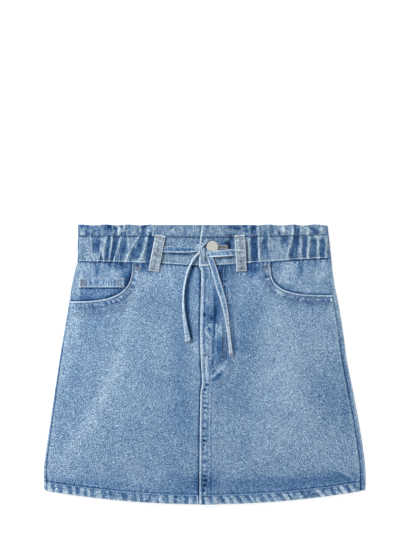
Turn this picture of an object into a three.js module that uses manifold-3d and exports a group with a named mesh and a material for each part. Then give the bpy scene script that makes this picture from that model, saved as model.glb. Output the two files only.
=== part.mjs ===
// A denim mini skirt with an elasticated paperbag waist, laid flat on its back.
// Millimetres. +Z is up from the surface, +Y runs towards the waist and +X to the viewer's right.
import * as THREE from "three";
import { mergeVertices } from "three/addons/utils/BufferGeometryUtils.js";
import Module from "manifold-3d";

// Cloth and seams
const CLOTH = 1.3; // one layer of denim
const FACING = 1.1; // pocket facing
const COIN = 1.1; // coin pocket with its turned edges
const BAND = 2.0; // waistband, two layers
const HEM = 2.6; // turned hem, three layers
const HEM_DEPTH = 13;
const HEM_TURN = 3; // height over which a panel grows into its hem
const HEM_SLOPE = 14; // height over which what lies on the back's hem comes down off it
const STRAP = 1.8; // belt loops and ties, folded strips
const GAP = 0.3; // between pieces at a seam
const BAND_SLOPE = 16; // how far below the band the panels start to rise to it
const BAND_STEP = { low: -3, high: 1 }; // heights over the band seam that a tie climbs between

// The whole outline
const WAIST_TOP = 199.6;
const HEM_LOWEST = -199.4;
const HEM_RISE = 20; // from the middle of the hem to its corners
const HALF_HEM = 229.5;
const HALF_WAIST = 180; // near enough to say how high the seam and the top edge are at the sides
const SCALLOP = { high: 0.7, run: 5.3, from: 50, to: 90 }; // waves of the top edge, and where they grow

// Half widths of the laid skirt at a drop below its top edge
const OUTLINE = [
  { drop: 0, left: 180.6, right: 175.4 },
  { drop: 30, left: 181.2, right: 178.6 },
  { drop: 54, left: 181.6, right: 181.4 },
  { drop: 62, left: 184.6, right: 182.2 },
  { drop: 88, left: 190.0, right: 185.8 },
  { drop: 108, left: 192.8, right: 190.0 },
  { drop: 150, left: 200.0, right: 197.2 },
  { drop: 193, left: 207.0, right: 203.0 },
  { drop: 250, left: 215.6, right: 214.2 },
  { drop: 307, left: 224.0, right: 224.2 },
  { drop: 350, left: 229.5, right: 229.5 },
  { drop: 378, left: 228.4, right: 229.4 },
];

// How far inside the outline each side seam lies
const SEAM_INSET = [
  { drop: 60, left: 2.6, right: 5.6 },
  { drop: 250, left: 2.8, right: 7.0 },
  { drop: 378, left: 4.6, right: 7.6 },
];

// Lower edge of the waistband, and the stitched line under its ruffled heading
const BAND_SEAM = [
  { x: -182, seam: 145.8, heading: 183.4 },
  { x: -77, seam: 143.2, heading: 182.6 },
  { x: 0, seam: 139.4, heading: 181.7 },
  { x: 63, seam: 143.2, heading: 182.6 },
  { x: 133, seam: 148.0, heading: 184.0 },
  { x: 182, seam: 150.3, heading: 186.0 },
];

// The lapped edge at the centre front, on the band and on the panel
const LAP_EDGE = [
  { y: 199.6, x: -3.6 },
  { y: 171, x: -7.4 },
  { y: 140, x: -7.8 },
  { y: 132, x: -5.0 },
  { y: 48, x: -6.5 },
  { y: 6, x: -5.3 },
  { y: -27, x: -3.4 },
  { y: -38, x: -5.6 },
  { y: -150, x: -7.1 },
  { y: -200, x: -7.1 },
];
const FLY_LAP = 30; // where the fly underlap ends
const FLY_FOOT = -10; // height of the fly's foot
const SEAM_LAP = 8; // where the underlap ends below the fly
const LAP_TURN = { low: -26, high: 2 }; // heights over the fly's foot that it narrows between
const LAP_SLOPE = { near: 4, far: 16 }; // how far past its end the front comes down off it

// Pocket mouths: quarter superellipses from the band seam down to the side seam
const MOUTH = {
  left: { side: -1, top: -103.8, depth: 54.4, power: 3.0 },
  right: { side: 1, top: 93.9, depth: 47.0, power: 3.3 },
};
const FACING_LAP = 12; // how far a facing runs on under the front
const FACING_BLUNT = 1.5; // how far the tip of its curve is cut back
const FACING_SLOPE = 1.16; // where the front has come down off it, as a share of its own size
const MOUTH_TURN = 4; // above and below a mouth's foot, where the side seam changes its level
const COIN_POCKET = { left: -179.0, right: -114.2, top: 123.2, bottom: 78, offSeam: 1.2, slant: 5.5 };
const COIN_SLOPE = { near: 3, far: 11 }; // how far past its edge the front comes down off it

// Where the flat front of the band meets the gathered one, under the belt loops
const JOIN = { left: -67, right: 51.5 };
const UNDERLAP_END = 30;

// Gathers of the band: places across it at the heading, half way and at the seam, the stretch of the
// channel that each one runs along (0 at the heading, 1 at the seam), its height and its half width
const GATHERS = [
  { head: -161.6, half: -160.8, seam: -156.6, from: 0, to: 0.95, high: 1.2, wide: 2.6 },
  { head: -162.4, half: -163.6, seam: -163, from: 0.4, to: 1, high: 0.8, wide: 2.2 },
  { head: -138.2, half: -143.6, seam: -143.4, from: 0, to: 1, high: 1.4, wide: 2.6 },
  { head: -141, half: -146.6, seam: -152.8, from: 0.42, to: 1, high: 1.2, wide: 2.2 },
  { head: -131.2, half: -133.2, seam: -136.8, from: 0, to: 1, high: 1.3, wide: 2.6 },
  { head: -118.4, half: -124.4, seam: -129.8, from: 0, to: 1, high: 1.5, wide: 2.6 },
  { head: -121.2, half: -121.2, seam: -121.2, from: 0.7, to: 1, high: 0.7, wide: 2 },
  { head: -109.9, half: -108, seam: -107.2, from: 0, to: 0.55, high: 1.1, wide: 2.4 },
  { head: -92.7, half: -105.4, seam: -112.8, from: 0, to: 1, high: 1.6, wide: 2.6 },
  { head: -81.2, half: -86, seam: -92.4, from: 0, to: 1, high: 1.4, wide: 2.6 },
  { head: 63.8, half: 63.4, seam: 64.6, from: 0, to: 1, high: 1.1, wide: 2.2 },
  { head: 77, half: 77.2, seam: 78.8, from: 0, to: 1, high: 1.6, wide: 2.6 },
  { head: 82.8, half: 78.4, seam: 77.8, from: 0, to: 0.3, high: 0.8, wide: 1.6 },
  { head: 91.3, half: 91.6, seam: 91, from: 0, to: 0.5, high: 0.9, wide: 3 },
  { head: 105.4, half: 106, seam: 105.6, from: 0, to: 0.3, high: 0.9, wide: 2.4 },
  { head: 126.6, half: 120.6, seam: 117.6, from: 0, to: 1, high: 1.6, wide: 2.8 },
  { head: 137.4, half: 137.6, seam: 138.6, from: 0.2, to: 1, high: 1.3, wide: 2.4 },
  { head: 150.1, half: 148.4, seam: 147.2, from: 0, to: 1, high: 1.5, wide: 2.6 },
  { head: 161.6, half: 162.4, seam: 163.6, from: 0.12, to: 1, high: 1.3, wide: 2.4 },
  { head: 174.8, half: 174, seam: 172.6, from: 0, to: 1, high: 1.1, wide: 2.4 },
  { head: 129.2, half: 129.2, seam: 129.4, from: 0.6, to: 1, high: 0.6, wide: 2 },
];

// How the stitching holds the gathers down: the share of the channel that they fade over, how much of them
// is left at the seam and at the heading, how far off the belt loops they start and over how far they rise
const GATHER_HOLD = { fade: 0.12, atSeam: 0.55, atHeading: 0.5, joinClear: 8, joinFade: 9, foldFade: 7 };

// Waves of the ruffled heading above the stitched line: place, height, half width and lean
const RUFFLES = [
  { x: -172.6, high: 1, wide: 3.2, lean: 1.5 },
  { x: -161.5, high: 1.4, wide: 3, lean: -1 },
  { x: -145.6, high: 1.2, wide: 3.2, lean: 1 },
  { x: -131, high: 0.8, wide: 1.6, lean: 0 },
  { x: -122.2, high: 1.7, wide: 2, lean: 0.5 },
  { x: -114.2, high: 1.6, wide: 2, lean: 0 },
  { x: -101, high: 1.2, wide: 5, lean: -1 },
  { x: -79.6, high: 1.4, wide: 2, lean: 5 },
  { x: -73.2, high: 1.7, wide: 1.8, lean: 0.6 },
  { x: 65.2, high: 1.4, wide: 2.4, lean: -4 },
  { x: 77, high: 1.6, wide: 2.4, lean: 0.4 },
  { x: 91.8, high: 1.4, wide: 2.4, lean: 0.5 },
  { x: 102.2, high: 1.4, wide: 2, lean: 0 },
  { x: 113.2, high: 1.6, wide: 2.2, lean: -1 },
  { x: 125.4, high: 1.7, wide: 2, lean: 1.6 },
  { x: 139, high: 1.3, wide: 3.4, lean: -1 },
  { x: 147, high: 1.6, wide: 2.2, lean: 1 },
  { x: 167, high: 1.3, wide: 3, lean: 1 },
];

// Largest soft folds of the front: a line from one end to the other, its half width and its height
const FOLDS = [
  { x: 14, y: 120, toX: 10, toY: 10, wide: 9, high: -0.9 },
  { x: -60, y: 130, toX: -78, toY: 40, wide: 14, high: 0.8 },
  { x: -140, y: 60, toX: -165, toY: -110, wide: 22, high: 0.7 },
  { x: -95, y: -20, toX: -110, toY: -175, wide: 20, high: 0.8 },
  { x: 60, y: 128, toX: 74, toY: 10, wide: 15, high: 0.8 },
  { x: 120, y: 40, toX: 150, toY: -120, wide: 24, high: 0.9 },
  { x: 60, y: -60, toX: 70, toY: -170, wide: 18, high: -0.6 },
  { x: 20, y: -4, toX: 52, toY: -30, wide: 8, high: 0.8 },
];
const FOLD_END = { out: 0.25, in: 0.2 }; // shares of its line that a fold fades over past and within each end
const LOFT = 2.2; // how far the middle of the front stands off the back
const LOFT_REACH = { side: 60, hem: 70, band: 50 }; // how far in from each edge it takes to rise

// Belt loops: middle of each end, width, and how high they arch over the tie
const LOOPS = {
  left: { top: [-62.6, 184.0], foot: [-72.6, 132.6] },
  right: { top: [50.1, 184.4], foot: [52.9, 132.6] },
};
const LOOP_WIDTH = 15;
const LOOP_ARCH = { high: 2.7, foot: [0.14, 0.44], top: [0.98, 0.68] }; // rises along these shares of it
const LOOP_CUP = 0.25; // how far its long edges turn down

// Tie: a folded strip caught under each loop and knotted once over the button
const TIE_WIDTH = 9.2;
const TIE_ON_EDGE = { wide: 5.6, deep: 3.2 }; // the left free end, which lies turned on its edge
const TIE_CORNER = 0.3; // cut off each corner of its section, as a share of its depth
const TIE_STEPS = { held: 14, end: 20 };
const KNOT = { x: -4.2, y: 157.2, wide: 16, tall: 24, deep: 6.4, waist: 0.16, waistHalf: 0.3 };
const TIE_LEFT_HELD = [
  { x: -71.5, y: 163.6, over: 0 },
  { x: -56, y: 164, over: 0.3 },
  { x: -38, y: 163.6, over: 0.7 },
  { x: -20, y: 162.8, over: 1.6 },
  { x: -12.4, y: 162, over: 2.6 },
];
const TIE_RIGHT_HELD = [
  { x: 58.5, y: 160.4, over: 0 },
  { x: 46, y: 159.8, over: 0.1 },
  { x: 32, y: 158.6, over: 0.9 },
  { x: 18, y: 157.2, over: 2.8 },
  { x: 9.6, y: 156.6, over: 3.1 },
  { x: 4.4, y: 156.2, over: 3.1 },
];
const TIE_LEFT_END = [
  { x: -12.9, y: 152.7, over: 1.4 },
  { x: -16.8, y: 148.2, over: 1.3 },
  { x: -20.8, y: 140.2, over: 1.2 },
  { x: -25.2, y: 127.4, over: 0.8 },
  { x: -29, y: 108, over: 0.5 },
  { x: -30, y: 88, over: 0.4 },
  { x: -28.8, y: 68, over: 0.3 },
  { x: -26, y: 50, over: 0.2 },
  { x: -23.2, y: 33, over: 0.1 },
];
const TIE_RIGHT_END = [
  { x: 6.4, y: 148.6, over: 1.2 },
  { x: 10.2, y: 142.4, over: 1.2 },
  { x: 13.8, y: 135, over: 1.1 },
  { x: 17.6, y: 121.8, over: 0.5 },
  { x: 22.2, y: 106, over: 0.3 },
  { x: 27.2, y: 89, over: 0.3 },
  { x: 30.6, y: 72, over: 0.3 },
  { x: 33, y: 54, over: 0.6 },
  { x: 35, y: 37, over: 0.8 },
  { x: 37.8, y: 15.4, over: 0.9 },
];

// Button, and the keyhole that its shank comes up through
const BUTTON = { x: 11.2, y: 167.0, across: 17.2, deep: 2.4, shank: 5.0 };
const BUTTON_SIDES = 28;
const BUTTON_RIM = [
  { inset: 1.2, rise: 0 },
  { inset: 0.3, rise: 0.4 },
  { inset: 0, rise: 1.1 },
  { inset: 0.5, rise: 1.7 },
  { inset: 1.6, rise: 1.9 },
  { inset: 2.4, rise: 1.7 },
  { inset: 5.2, rise: 2.3 },
];
const BUTTONHOLE = { end: 31.5, slot: 2.2, eye: 6.4, steps: 20 };

// Small tools of the trade: blends and curves
const lerp = (a, b, t) => a + (b - a) * t;
const clamp = (t) => Math.min(1, Math.max(0, t));
const spread = (count, from = 0, to = 1) =>
  Array.from({ length: count + 1 }, (_, i) => lerp(from, to, i / count));

// 0 before `from`, 1 after `to`, smooth between them
function ease(from, to, at) {
  const t = clamp((at - from) / (to - from));
  return t * t * (3 - 2 * t);
}

// A smooth curve through a table: `key` names the column it runs along, `column` the value it gives
function through(table, key, column) {
  const rows = [...table].sort((a, b) => a[key] - b[key]);
  const slope = rows.map((row, i) => {
    const before = rows[Math.max(0, i - 1)];
    const after = rows[Math.min(rows.length - 1, i + 1)];
    return (after[column] - before[column]) / (after[key] - before[key]);
  });
  return (at) => {
    const here = Math.min(rows[rows.length - 1][key], Math.max(rows[0][key], at));
    const next = Math.min(rows.length - 1, Math.max(1, rows.findIndex((row) => row[key] >= here)));
    const a = rows[next - 1];
    const b = rows[next];
    const run = b[key] - a[key];
    const t = (here - a[key]) / run;
    const s = 1 - t;
    return (
      a[column] * (1 + 2 * t) * s * s +
      b[column] * (3 - 2 * t) * t * t +
      slope[next - 1] * run * t * s * s -
      slope[next] * run * s * t * t
    );
  };
}

const halfWidth = { "-1": through(OUTLINE, "drop", "left"), 1: through(OUTLINE, "drop", "right") };
const inset = { "-1": through(SEAM_INSET, "drop", "left"), 1: through(SEAM_INSET, "drop", "right") };
const bandSeam = through(BAND_SEAM, "x", "seam");
const headingLine = through(BAND_SEAM, "x", "heading");
const lapEdge = through(LAP_EDGE, "y", "x");
const outlineX = (side, y) => side * halfWidth[side](WAIST_TOP - y);
const seamX = (side, y) => outlineX(side, y) - side * inset[side](WAIST_TOP - y);
const hemY = (x) => HEM_LOWEST + HEM_RISE * (x / HALF_HEM) ** 2;
const underlapX = (y) => lerp(SEAM_LAP, FLY_LAP, ease(FLY_FOOT + LAP_TURN.low, FLY_FOOT + LAP_TURN.high, y));

// The waist's top edge, lightly scalloped by the ruffle
function topEdge(x) {
  const grown = ease(SCALLOP.from, SCALLOP.to, Math.abs(x));
  return WAIST_TOP - SCALLOP.high * (1 + Math.sin(x / SCALLOP.run) * grown);
}

// A closed wall between two surfaces on the same grid, its rim closed and its faces outwards
function wall(us, vs, outer, inner) {
  const points = [];
  for (const surface of [outer, inner]) {
    for (const v of vs) for (const u of us) points.push(...surface(u, v));
  }
  const at = (side, i, j) => (side * vs.length + j) * us.length + i;
  const faces = [];
  const quad = (a, b, c, d) => faces.push(a, b, c, a, c, d);
  const lastU = us.length - 1;
  const lastV = vs.length - 1;
  for (let j = 0; j < lastV; j++) {
    for (let i = 0; i < lastU; i++) {
      quad(at(0, i, j), at(0, i, j + 1), at(0, i + 1, j + 1), at(0, i + 1, j));
      quad(at(1, i, j), at(1, i + 1, j), at(1, i + 1, j + 1), at(1, i, j + 1));
    }
    quad(at(0, 0, j + 1), at(0, 0, j), at(1, 0, j), at(1, 0, j + 1));
    quad(at(0, lastU, j), at(0, lastU, j + 1), at(1, lastU, j + 1), at(1, lastU, j));
  }
  for (let i = 0; i < lastU; i++) {
    quad(at(0, i, 0), at(0, i + 1, 0), at(1, i + 1, 0), at(1, i, 0));
    quad(at(0, i + 1, lastV), at(0, i, lastV), at(1, i, lastV), at(1, i + 1, lastV));
  }
  if (volume(points, faces) < 0) faces.reverse();
  const geometry = new THREE.BufferGeometry();
  geometry.setAttribute("position", new THREE.Float32BufferAttribute(points, 3));
  geometry.setIndex(faces);
  geometry.computeVertexNormals();
  return geometry;
}

function volume(points, faces) {
  const corner = (index) => new THREE.Vector3().fromArray(points, index * 3);
  let sum = 0;
  for (let i = 0; i < faces.length; i += 3) {
    sum += corner(faces[i]).dot(corner(faces[i + 1]).cross(corner(faces[i + 2])));
  }
  return sum / 6;
}

// A wall of the given thickness, half of it to each side of a middle surface
function thick(us, vs, middle, thickness) {
  const step = 5e-4;
  const offset = (side) => (u, v) => {
    const across = difference(middle(clamp(u + step), v), middle(clamp(u - step), v));
    const down = difference(middle(u, clamp(v + step)), middle(u, clamp(v - step)));
    const normal = down.cross(across).normalize();
    const reach = (side * thickness(u, v)) / 2;
    return middle(u, v).map((value, i) => value + normal.getComponent(i) * reach);
  };
  return wall(us, vs, offset(1), offset(-1));
}

const difference = (a, b) => new THREE.Vector3(a[0] - b[0], a[1] - b[1], a[2] - b[2]);

// Thickness of a panel, which grows into its turned hem
const aboveHem = (x, y) => y - hemY(x) - HEM_DEPTH;
const panelThickness = (x, y) => lerp(CLOTH, HEM, ease(HEM_TURN, 0, aboveHem(x, y)));
const hemLift = (x, y) => (HEM - CLOTH) * ease(HEM_SLOPE, 0, aboveHem(x, y));
const bandLift = (x, y) => (BAND - CLOTH + GAP) * ease(bandSeam(x) - BAND_SLOPE, bandSeam(x), y);

// Where a place lies against a pocket's mouth: under 1 inside the mouth, over 1 on the panel
function mouthRadius({ side, top, depth, power }, x, y, grow = 0) {
  const corner = bandSeam(top);
  const across = Math.max(0, side * (seamX(side, corner - depth) - x));
  const width = Math.abs(seamX(side, corner - depth) - top) + grow;
  const down = Math.max(0, corner - y);
  return ((across / width) ** power + (down / (depth + grow)) ** power) ** (1 / power);
}

const mouthOf = (side) => (side < 0 ? MOUTH.left : MOUTH.right);
const facingShare = (side, x, y) => ease(FACING_SLOPE, 1, mouthRadius(mouthOf(side), x, y, FACING_LAP));

function coinShare(x, y) {
  const outside = Math.max(COIN_POCKET.left - x, x - COIN_POCKET.right, COIN_POCKET.bottom - y);
  return ease(COIN_SLOPE.far, COIN_SLOPE.near, outside);
}

// Height of each soft fold at a place: a rounded ridge along a line that fades at its ends
function foldHeight(x, y) {
  return FOLDS.reduce((sum, fold) => {
    const run = new THREE.Vector2(fold.toX - fold.x, fold.toY - fold.y);
    const place = new THREE.Vector2(x - fold.x, y - fold.y);
    const along = place.dot(run) / run.lengthSq();
    const aside = place.cross(run) / run.length() / fold.wide;
    const nearEnd = Math.min(along, 1 - along);
    return sum + fold.high * ease(-FOLD_END.out, FOLD_END.in, nearEnd) * Math.exp(-aside * aside);
  }, 0);
}

// How far the front stands off the back, nothing at the seams and most in the middle
function loftAt(side, x, y) {
  const fromSide = ease(0, LOFT_REACH.side, side * (seamX(side, y) - x));
  const fromHem = ease(0, LOFT_REACH.hem, aboveHem(x, y));
  const fromBand = ease(0, LOFT_REACH.band, bandSeam(x) - y);
  return fromSide * fromHem * fromBand * (LOFT + foldHeight(x, y));
}

const backTop = (x, y) => CLOTH + hemLift(x, y);
const facingLow = (x, y) => CLOTH + GAP + bandLift(x, y);

// Underside of the front panel, over the back and all that lies between them
function frontLow(side, x, y) {
  const pocket = (FACING + GAP) * facingShare(side, x, y);
  const coin = side < 0 ? (COIN + 1.5 * GAP) * coinShare(x, y) * facingShare(side, x, y) : 0;
  const lapped = ease(LAP_SLOPE.far, LAP_SLOPE.near, x - underlapX(y));
  const under = side > 0 ? (CLOTH + hemLift(x, y) + 2 * GAP) * lapped : 0;
  return backTop(x, y) + GAP + bandLift(x, y) + pocket + coin + under + loftAt(side, x, y);
}

// The level that the back panel's turned edge reaches at the side seam
function sideLow(side, y) {
  const x = seamX(side, y);
  const low = bandSeam(mouthOf(side).top) - mouthOf(side).depth;
  const share = ease(low + MOUTH_TURN, low - MOUTH_TURN, y);
  return lerp(facingLow(x, y), frontLow(side, x, y), share);
}

// Back panel: flat on the surface, its sides turned up to meet the front at the side seams
function backPanel() {
  const ends = [0.03, 0.09]; // shares of the columns where the turned lap ends and the bend ends
  const middle = (u, v) => {
    const side = u < 0.5 ? -1 : 1;
    const out = u < 0.5 ? u : 1 - u;
    const guessX = outlineX(side, lerp(bandSeam(side * HALF_WAIST), hemY(side * HALF_HEM), v));
    const flat = (out - ends[1]) / (0.5 - ends[1]);
    const columnX = out < ends[1] ? guessX : lerp(guessX, 0, flat);
    const y = lerp(bandSeam(columnX) - GAP, hemY(columnX), v);
    const thickness = panelThickness(columnX, y);
    const bottom = thickness / 2;
    const top = sideLow(side, y) + thickness / 2;
    const radius = (top - bottom) / 2;
    const centre = outlineX(side, y) - side * (thickness / 2 + radius);
    if (out < ends[0]) {
      return [lerp(seamX(side, y) + (side * GAP) / 2, centre, out / ends[0]), y, top];
    }
    if (out < ends[1]) {
      const angle = lerp(Math.PI / 2, -Math.PI / 2, (out - ends[0]) / (ends[1] - ends[0]));
      return [centre + side * radius * Math.cos(angle), y, bottom + radius + radius * Math.sin(angle)];
    }
    return [lerp(centre, 0, flat), y, bottom];
  };
  const edge = [0, ends[0], ...spread(5, ends[0], ends[1]).slice(1)];
  const flatRun = spread(18, ends[1], 1 - ends[1]).slice(1, -1);
  const us = [...edge, ...flatRun, ...edge.map((u) => 1 - u).reverse()];
  const vs = [0, 0.02, 0.04, 0.07, ...spread(11, 0.12, 0.93), 0.955, 0.968, 1]; // closest at band and hem
  return thick(us, vs, middle, (u, v) => {
    const [x, y] = middle(u, v);
    return panelThickness(x, y);
  });
}

// Front panel: ruled from the band seam and the pocket's mouth down to the hem
function frontPanel(side) {
  const mouth = mouthOf(side);
  const corner = bandSeam(mouth.top);
  const mouthShare = 0.46; // share of the grid's columns that meet the band, before the mouth's
  const hemFrom = 0.94; // share of its rows above the hem
  const innerX = (y) => (side > 0 ? lapEdge(y) : underlapX(y));
  const outerY = corner - mouth.depth;
  const outerX = seamX(side, outerY);
  const topAt = (u) => {
    if (u <= mouthShare) {
      const x = lerp(innerX(bandSeam(0)), mouth.top, u / mouthShare);
      return [x, bandSeam(x) - GAP];
    }
    const angle = ((u - mouthShare) / (1 - mouthShare)) * (Math.PI / 2);
    const x = outerX - (outerX - mouth.top) * Math.cos(angle) ** (2 / mouth.power);
    return [x, corner - GAP - (mouth.depth - GAP) * Math.sin(angle) ** (2 / mouth.power)];
  };
  const hemEdge = seamX(side, hemY(side * HALF_HEM)) - (side * GAP) / 2;
  const place = (u, v) => {
    const hemX = lerp(innerX(HEM_LOWEST), hemEdge, u);
    const hemTop = hemY(hemX) + HEM_DEPTH;
    const [topX, topY] = topAt(u);
    const fall = clamp(v / hemFrom);
    const foot = clamp((v - hemFrom) / (1 - hemFrom));
    const y = lerp(topY, hemTop, fall) - HEM_DEPTH * foot;
    const x = lerp(topX, hemX, fall);
    const inner = innerX(y) - lerp(innerX(bandSeam(0)), innerX(HEM_LOWEST), fall);
    const outer = seamX(side, y) - (side * GAP) / 2 - lerp(outerX, hemEdge, fall);
    return [x + inner * (1 - u) ** 3 + outer * u ** 3, y];
  };
  const middle = (u, v) => {
    const [x, y] = place(u, v);
    return [x, y, frontLow(side, x, y) + panelThickness(x, y) / 2];
  };
  const us = [0, 0.03, ...spread(9, 0.07, mouthShare), ...spread(12, mouthShare, 1).slice(1)];
  const vs = [0, 0.02, 0.05, ...spread(13, 0.1, 0.9), 0.925, hemFrom, 0.97, 1]; // closest at band and hem
  return thick(us, vs, middle, (u, v) => panelThickness(...place(u, v)));
}

// Pocket facing: behind the mouth, between the band seam, the side seam and its lap under the front
function pocketFacing(side) {
  const mouth = mouthOf(side);
  const corner = bandSeam(mouth.top);
  const outerX = seamX(side, corner - mouth.depth);
  const width = Math.abs(outerX - mouth.top) + FACING_LAP;
  const innerX = outerX - side * (width - FACING_BLUNT);
  const middle = (u, v) => {
    const straight = lerp(outerX, innerX, u);
    const ratio = Math.abs(outerX - straight) / width;
    const foot = corner - (mouth.depth + FACING_LAP) * (1 - ratio ** mouth.power) ** (1 / mouth.power);
    const headX = straight + (seamX(side, corner) - outerX) * (1 - u) ** 2;
    const y = lerp(bandSeam(headX) - GAP, foot, v);
    const x = straight + (seamX(side, y) - (side * GAP) / 2 - outerX) * (1 - u) ** 2;
    return [x, y, facingLow(x, y) + FACING / 2];
  };
  const us = [...spread(9, 0, 0.8), 0.86, 0.92, 0.96, 1]; // closest where the curve turns up
  return thick(us, spread(7), middle, () => FACING);
}

// Coin pocket: a small patch on the left facing, its foot tucked under the front
function coinPocket() {
  const middle = (u, v) => {
    const y = lerp(COIN_POCKET.top, COIN_POCKET.bottom, v);
    const left = Math.max(COIN_POCKET.left, seamX(-1, y) + COIN_POCKET.offSeam);
    const x = lerp(left, COIN_POCKET.right - COIN_POCKET.slant * v ** 3, u);
    return [x, y, facingLow(x, y) + FACING + GAP + COIN / 2];
  };
  return thick(spread(8), spread(6), middle, () => COIN);
}

// Height of the gathers at a place in the band: ridges in the channel, waves in the heading
function gatherHeight(x, y) {
  const depth = (headingLine(x) - y) / (headingLine(x) - bandSeam(x));
  const inChannel = ease(-0.08, 0.04, depth);
  const ridges = GATHERS.reduce((sum, row) => {
    const t = clamp(depth);
    const curve = row.head * (1 - t) * (1 - 2 * t) + row.half * 4 * t * (1 - t) + row.seam * t * (2 * t - 1);
    const aside = (x - curve) / row.wide;
    const start = row.from > 0 ? ease(row.from - GATHER_HOLD.fade, row.from + GATHER_HOLD.fade, depth) : 1;
    const stop = row.to < 1 ? ease(row.to + GATHER_HOLD.fade, row.to - GATHER_HOLD.fade, depth) : 1;
    return sum + row.high * start * stop * Math.exp(-aside * aside);
  }, 0);
  const waves = RUFFLES.reduce((sum, row) => {
    const aside = (x - row.x - row.lean * clamp(-depth * 2)) / row.wide;
    return sum + row.high * Math.exp(-aside * aside);
  }, 0);
  const { fade, atSeam, atHeading, joinClear, joinFade, foldFade } = GATHER_HOLD;
  const heading = ease(-fade, 0, depth) * ease(fade, 0, depth);
  const held = lerp(1, atSeam, ease(1 - fade, 1, depth)) * lerp(1, atHeading, heading);
  const pastJoin = Math.max(JOIN.left - x - joinClear * clamp(depth), x - JOIN.right) - joinClear;
  const side = x < 0 ? -1 : 1;
  const nearFold = ease(1, foldFade, side * (outlineX(side, y) - x));
  return lerp(waves, ridges, inChannel) * held * ease(0, joinFade, pastJoin) * nearFold;
}

const bandLow = BAND + GAP;

// Elasticated waistband: from one belt loop round the side, along the back and forward to the other
function elasticBand() {
  const bends = [0.36, 0.4]; // shares of the columns where the front ends and the back begins
  const middle = (u, v) => {
    const side = u < 0.5 ? -1 : 1;
    const out = u < 0.5 ? u : 1 - u;
    const [foldAt, backAt] = bends;
    const guess = lerp(topEdge(side * HALF_WAIST), bandSeam(side * HALF_WAIST), v);
    const join = side < 0 ? JOIN.left - GAP / 2 : JOIN.right + GAP / 2;
    const level = bandLow + BAND / 2;
    const radius = (level - BAND / 2) / 2;
    const centreAt = (y) => outlineX(side, y) - side * (BAND / 2 + radius);
    const rowAt = (x) => lerp(topEdge(x), bandSeam(x), v);
    if (out < foldAt) {
      const x = lerp(join, centreAt(guess), out / foldAt);
      const y = rowAt(x);
      return [x, y, level + gatherHeight(x, y)];
    }
    if (out < backAt) {
      const y = rowAt(centreAt(guess));
      const angle = lerp(Math.PI / 2, -Math.PI / 2, (out - foldAt) / (backAt - foldAt));
      return [
        centreAt(guess) + side * radius * Math.cos(angle),
        y,
        BAND / 2 + radius + radius * Math.sin(angle),
      ];
    }
    const x = lerp(centreAt(guess), 0, (out - backAt) / (0.5 - backAt));
    return [x, rowAt(x), BAND / 2];
  };
  const front = spread(62, 0, bends[0]);
  const half = [...front, ...spread(5, bends[0], bends[1]).slice(1), ...spread(7, bends[1], 0.5).slice(1)];
  const us = [...half, ...half.slice(0, -1).map((u) => 1 - u).reverse()];
  const vs = [0, 0.14, 0.3, 0.46, 0.64, 0.82, 1];
  return thick(us, vs, middle, () => BAND);
}

// Where the right band lies over the left one's button end
const bandLap = (x) => (BAND + GAP) * ease(UNDERLAP_END + 9, UNDERLAP_END + 1, x);

// Flat front of the waistband: the left half carries the button, the right half laps over it
function frontBand(side) {
  const middle = (u, v) => {
    const inner = side > 0 ? lapEdge(lerp(topEdge(0), bandSeam(0), v)) : UNDERLAP_END;
    const join = side < 0 ? JOIN.left + GAP / 2 : JOIN.right - GAP / 2;
    const x = lerp(inner, join, u);
    const lap = side > 0 ? bandLap(x) : 0;
    return [x, lerp(topEdge(x), bandSeam(x), v), bandLow + BAND / 2 + lap];
  };
  return thick(spread(14), spread(6), middle, () => BAND);
}

// Belt loop: a folded strip tacked at both ends, arched over the tie
function beltLoop({ top, foot }) {
  const run = new THREE.Vector2(top[0] - foot[0], top[1] - foot[1]);
  const width = new THREE.Vector2(run.y, -run.x).normalize().multiplyScalar(LOOP_WIDTH);
  const rest = bandLow + BAND + GAP + STRAP / 2;
  const middle = (u, v) => {
    const along = 1 - v;
    const arch = LOOP_ARCH.high * ease(...LOOP_ARCH.foot, along) * ease(...LOOP_ARCH.top, along);
    return [
      foot[0] + run.x * along + width.x * (u - 0.5),
      foot[1] + run.y * along + width.y * (u - 0.5),
      rest + arch - LOOP_CUP * (2 * u - 1) ** 4,
    ];
  };
  return thick(spread(6), spread(14), middle, () => STRAP);
}

// Top of the garment under the ties: the flat band, its lap, and the panels below the band
function surfaceTop(x, y) {
  const side = x > lapEdge(y) ? 1 : -1;
  const panel = frontLow(side, x, y) + CLOTH;
  const band = bandLow + BAND + (side > 0 ? bandLap(x) : 0);
  return lerp(panel, band, ease(BAND_STEP.low, BAND_STEP.high, y - bandSeam(x)));
}

// A stretch of tie: a flat eight-sided strip along its route, lying on the garment
function tie(route, wide, deep, steps) {
  const points = route.map(
    ({ x, y, over }) => new THREE.Vector3(x, y, surfaceTop(x, y) + GAP + deep / 2 + over),
  );
  const section = new THREE.Shape();
  const corner = deep * TIE_CORNER;
  const outline = [
    [deep / 2, wide / 2 - corner],
    [deep / 2 - corner, wide / 2],
    [corner - deep / 2, wide / 2],
    [-deep / 2, wide / 2 - corner],
    [-deep / 2, corner - wide / 2],
    [corner - deep / 2, -wide / 2],
    [deep / 2 - corner, -wide / 2],
    [deep / 2, corner - wide / 2],
  ];
  section.setFromPoints(outline.map(([a, b]) => new THREE.Vector2(a, b)));
  const geometry = new THREE.ExtrudeGeometry(section, {
    steps,
    extrudePath: new THREE.CatmullRomCurve3(points, false, "centripetal"),
  });
  return joined(geometry);
}

// Shared corners merged, so that the surface is closed
function joined(geometry) {
  geometry.deleteAttribute("normal");
  geometry.deleteAttribute("uv");
  return mergeVertices(geometry, 1e-3);
}

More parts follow.
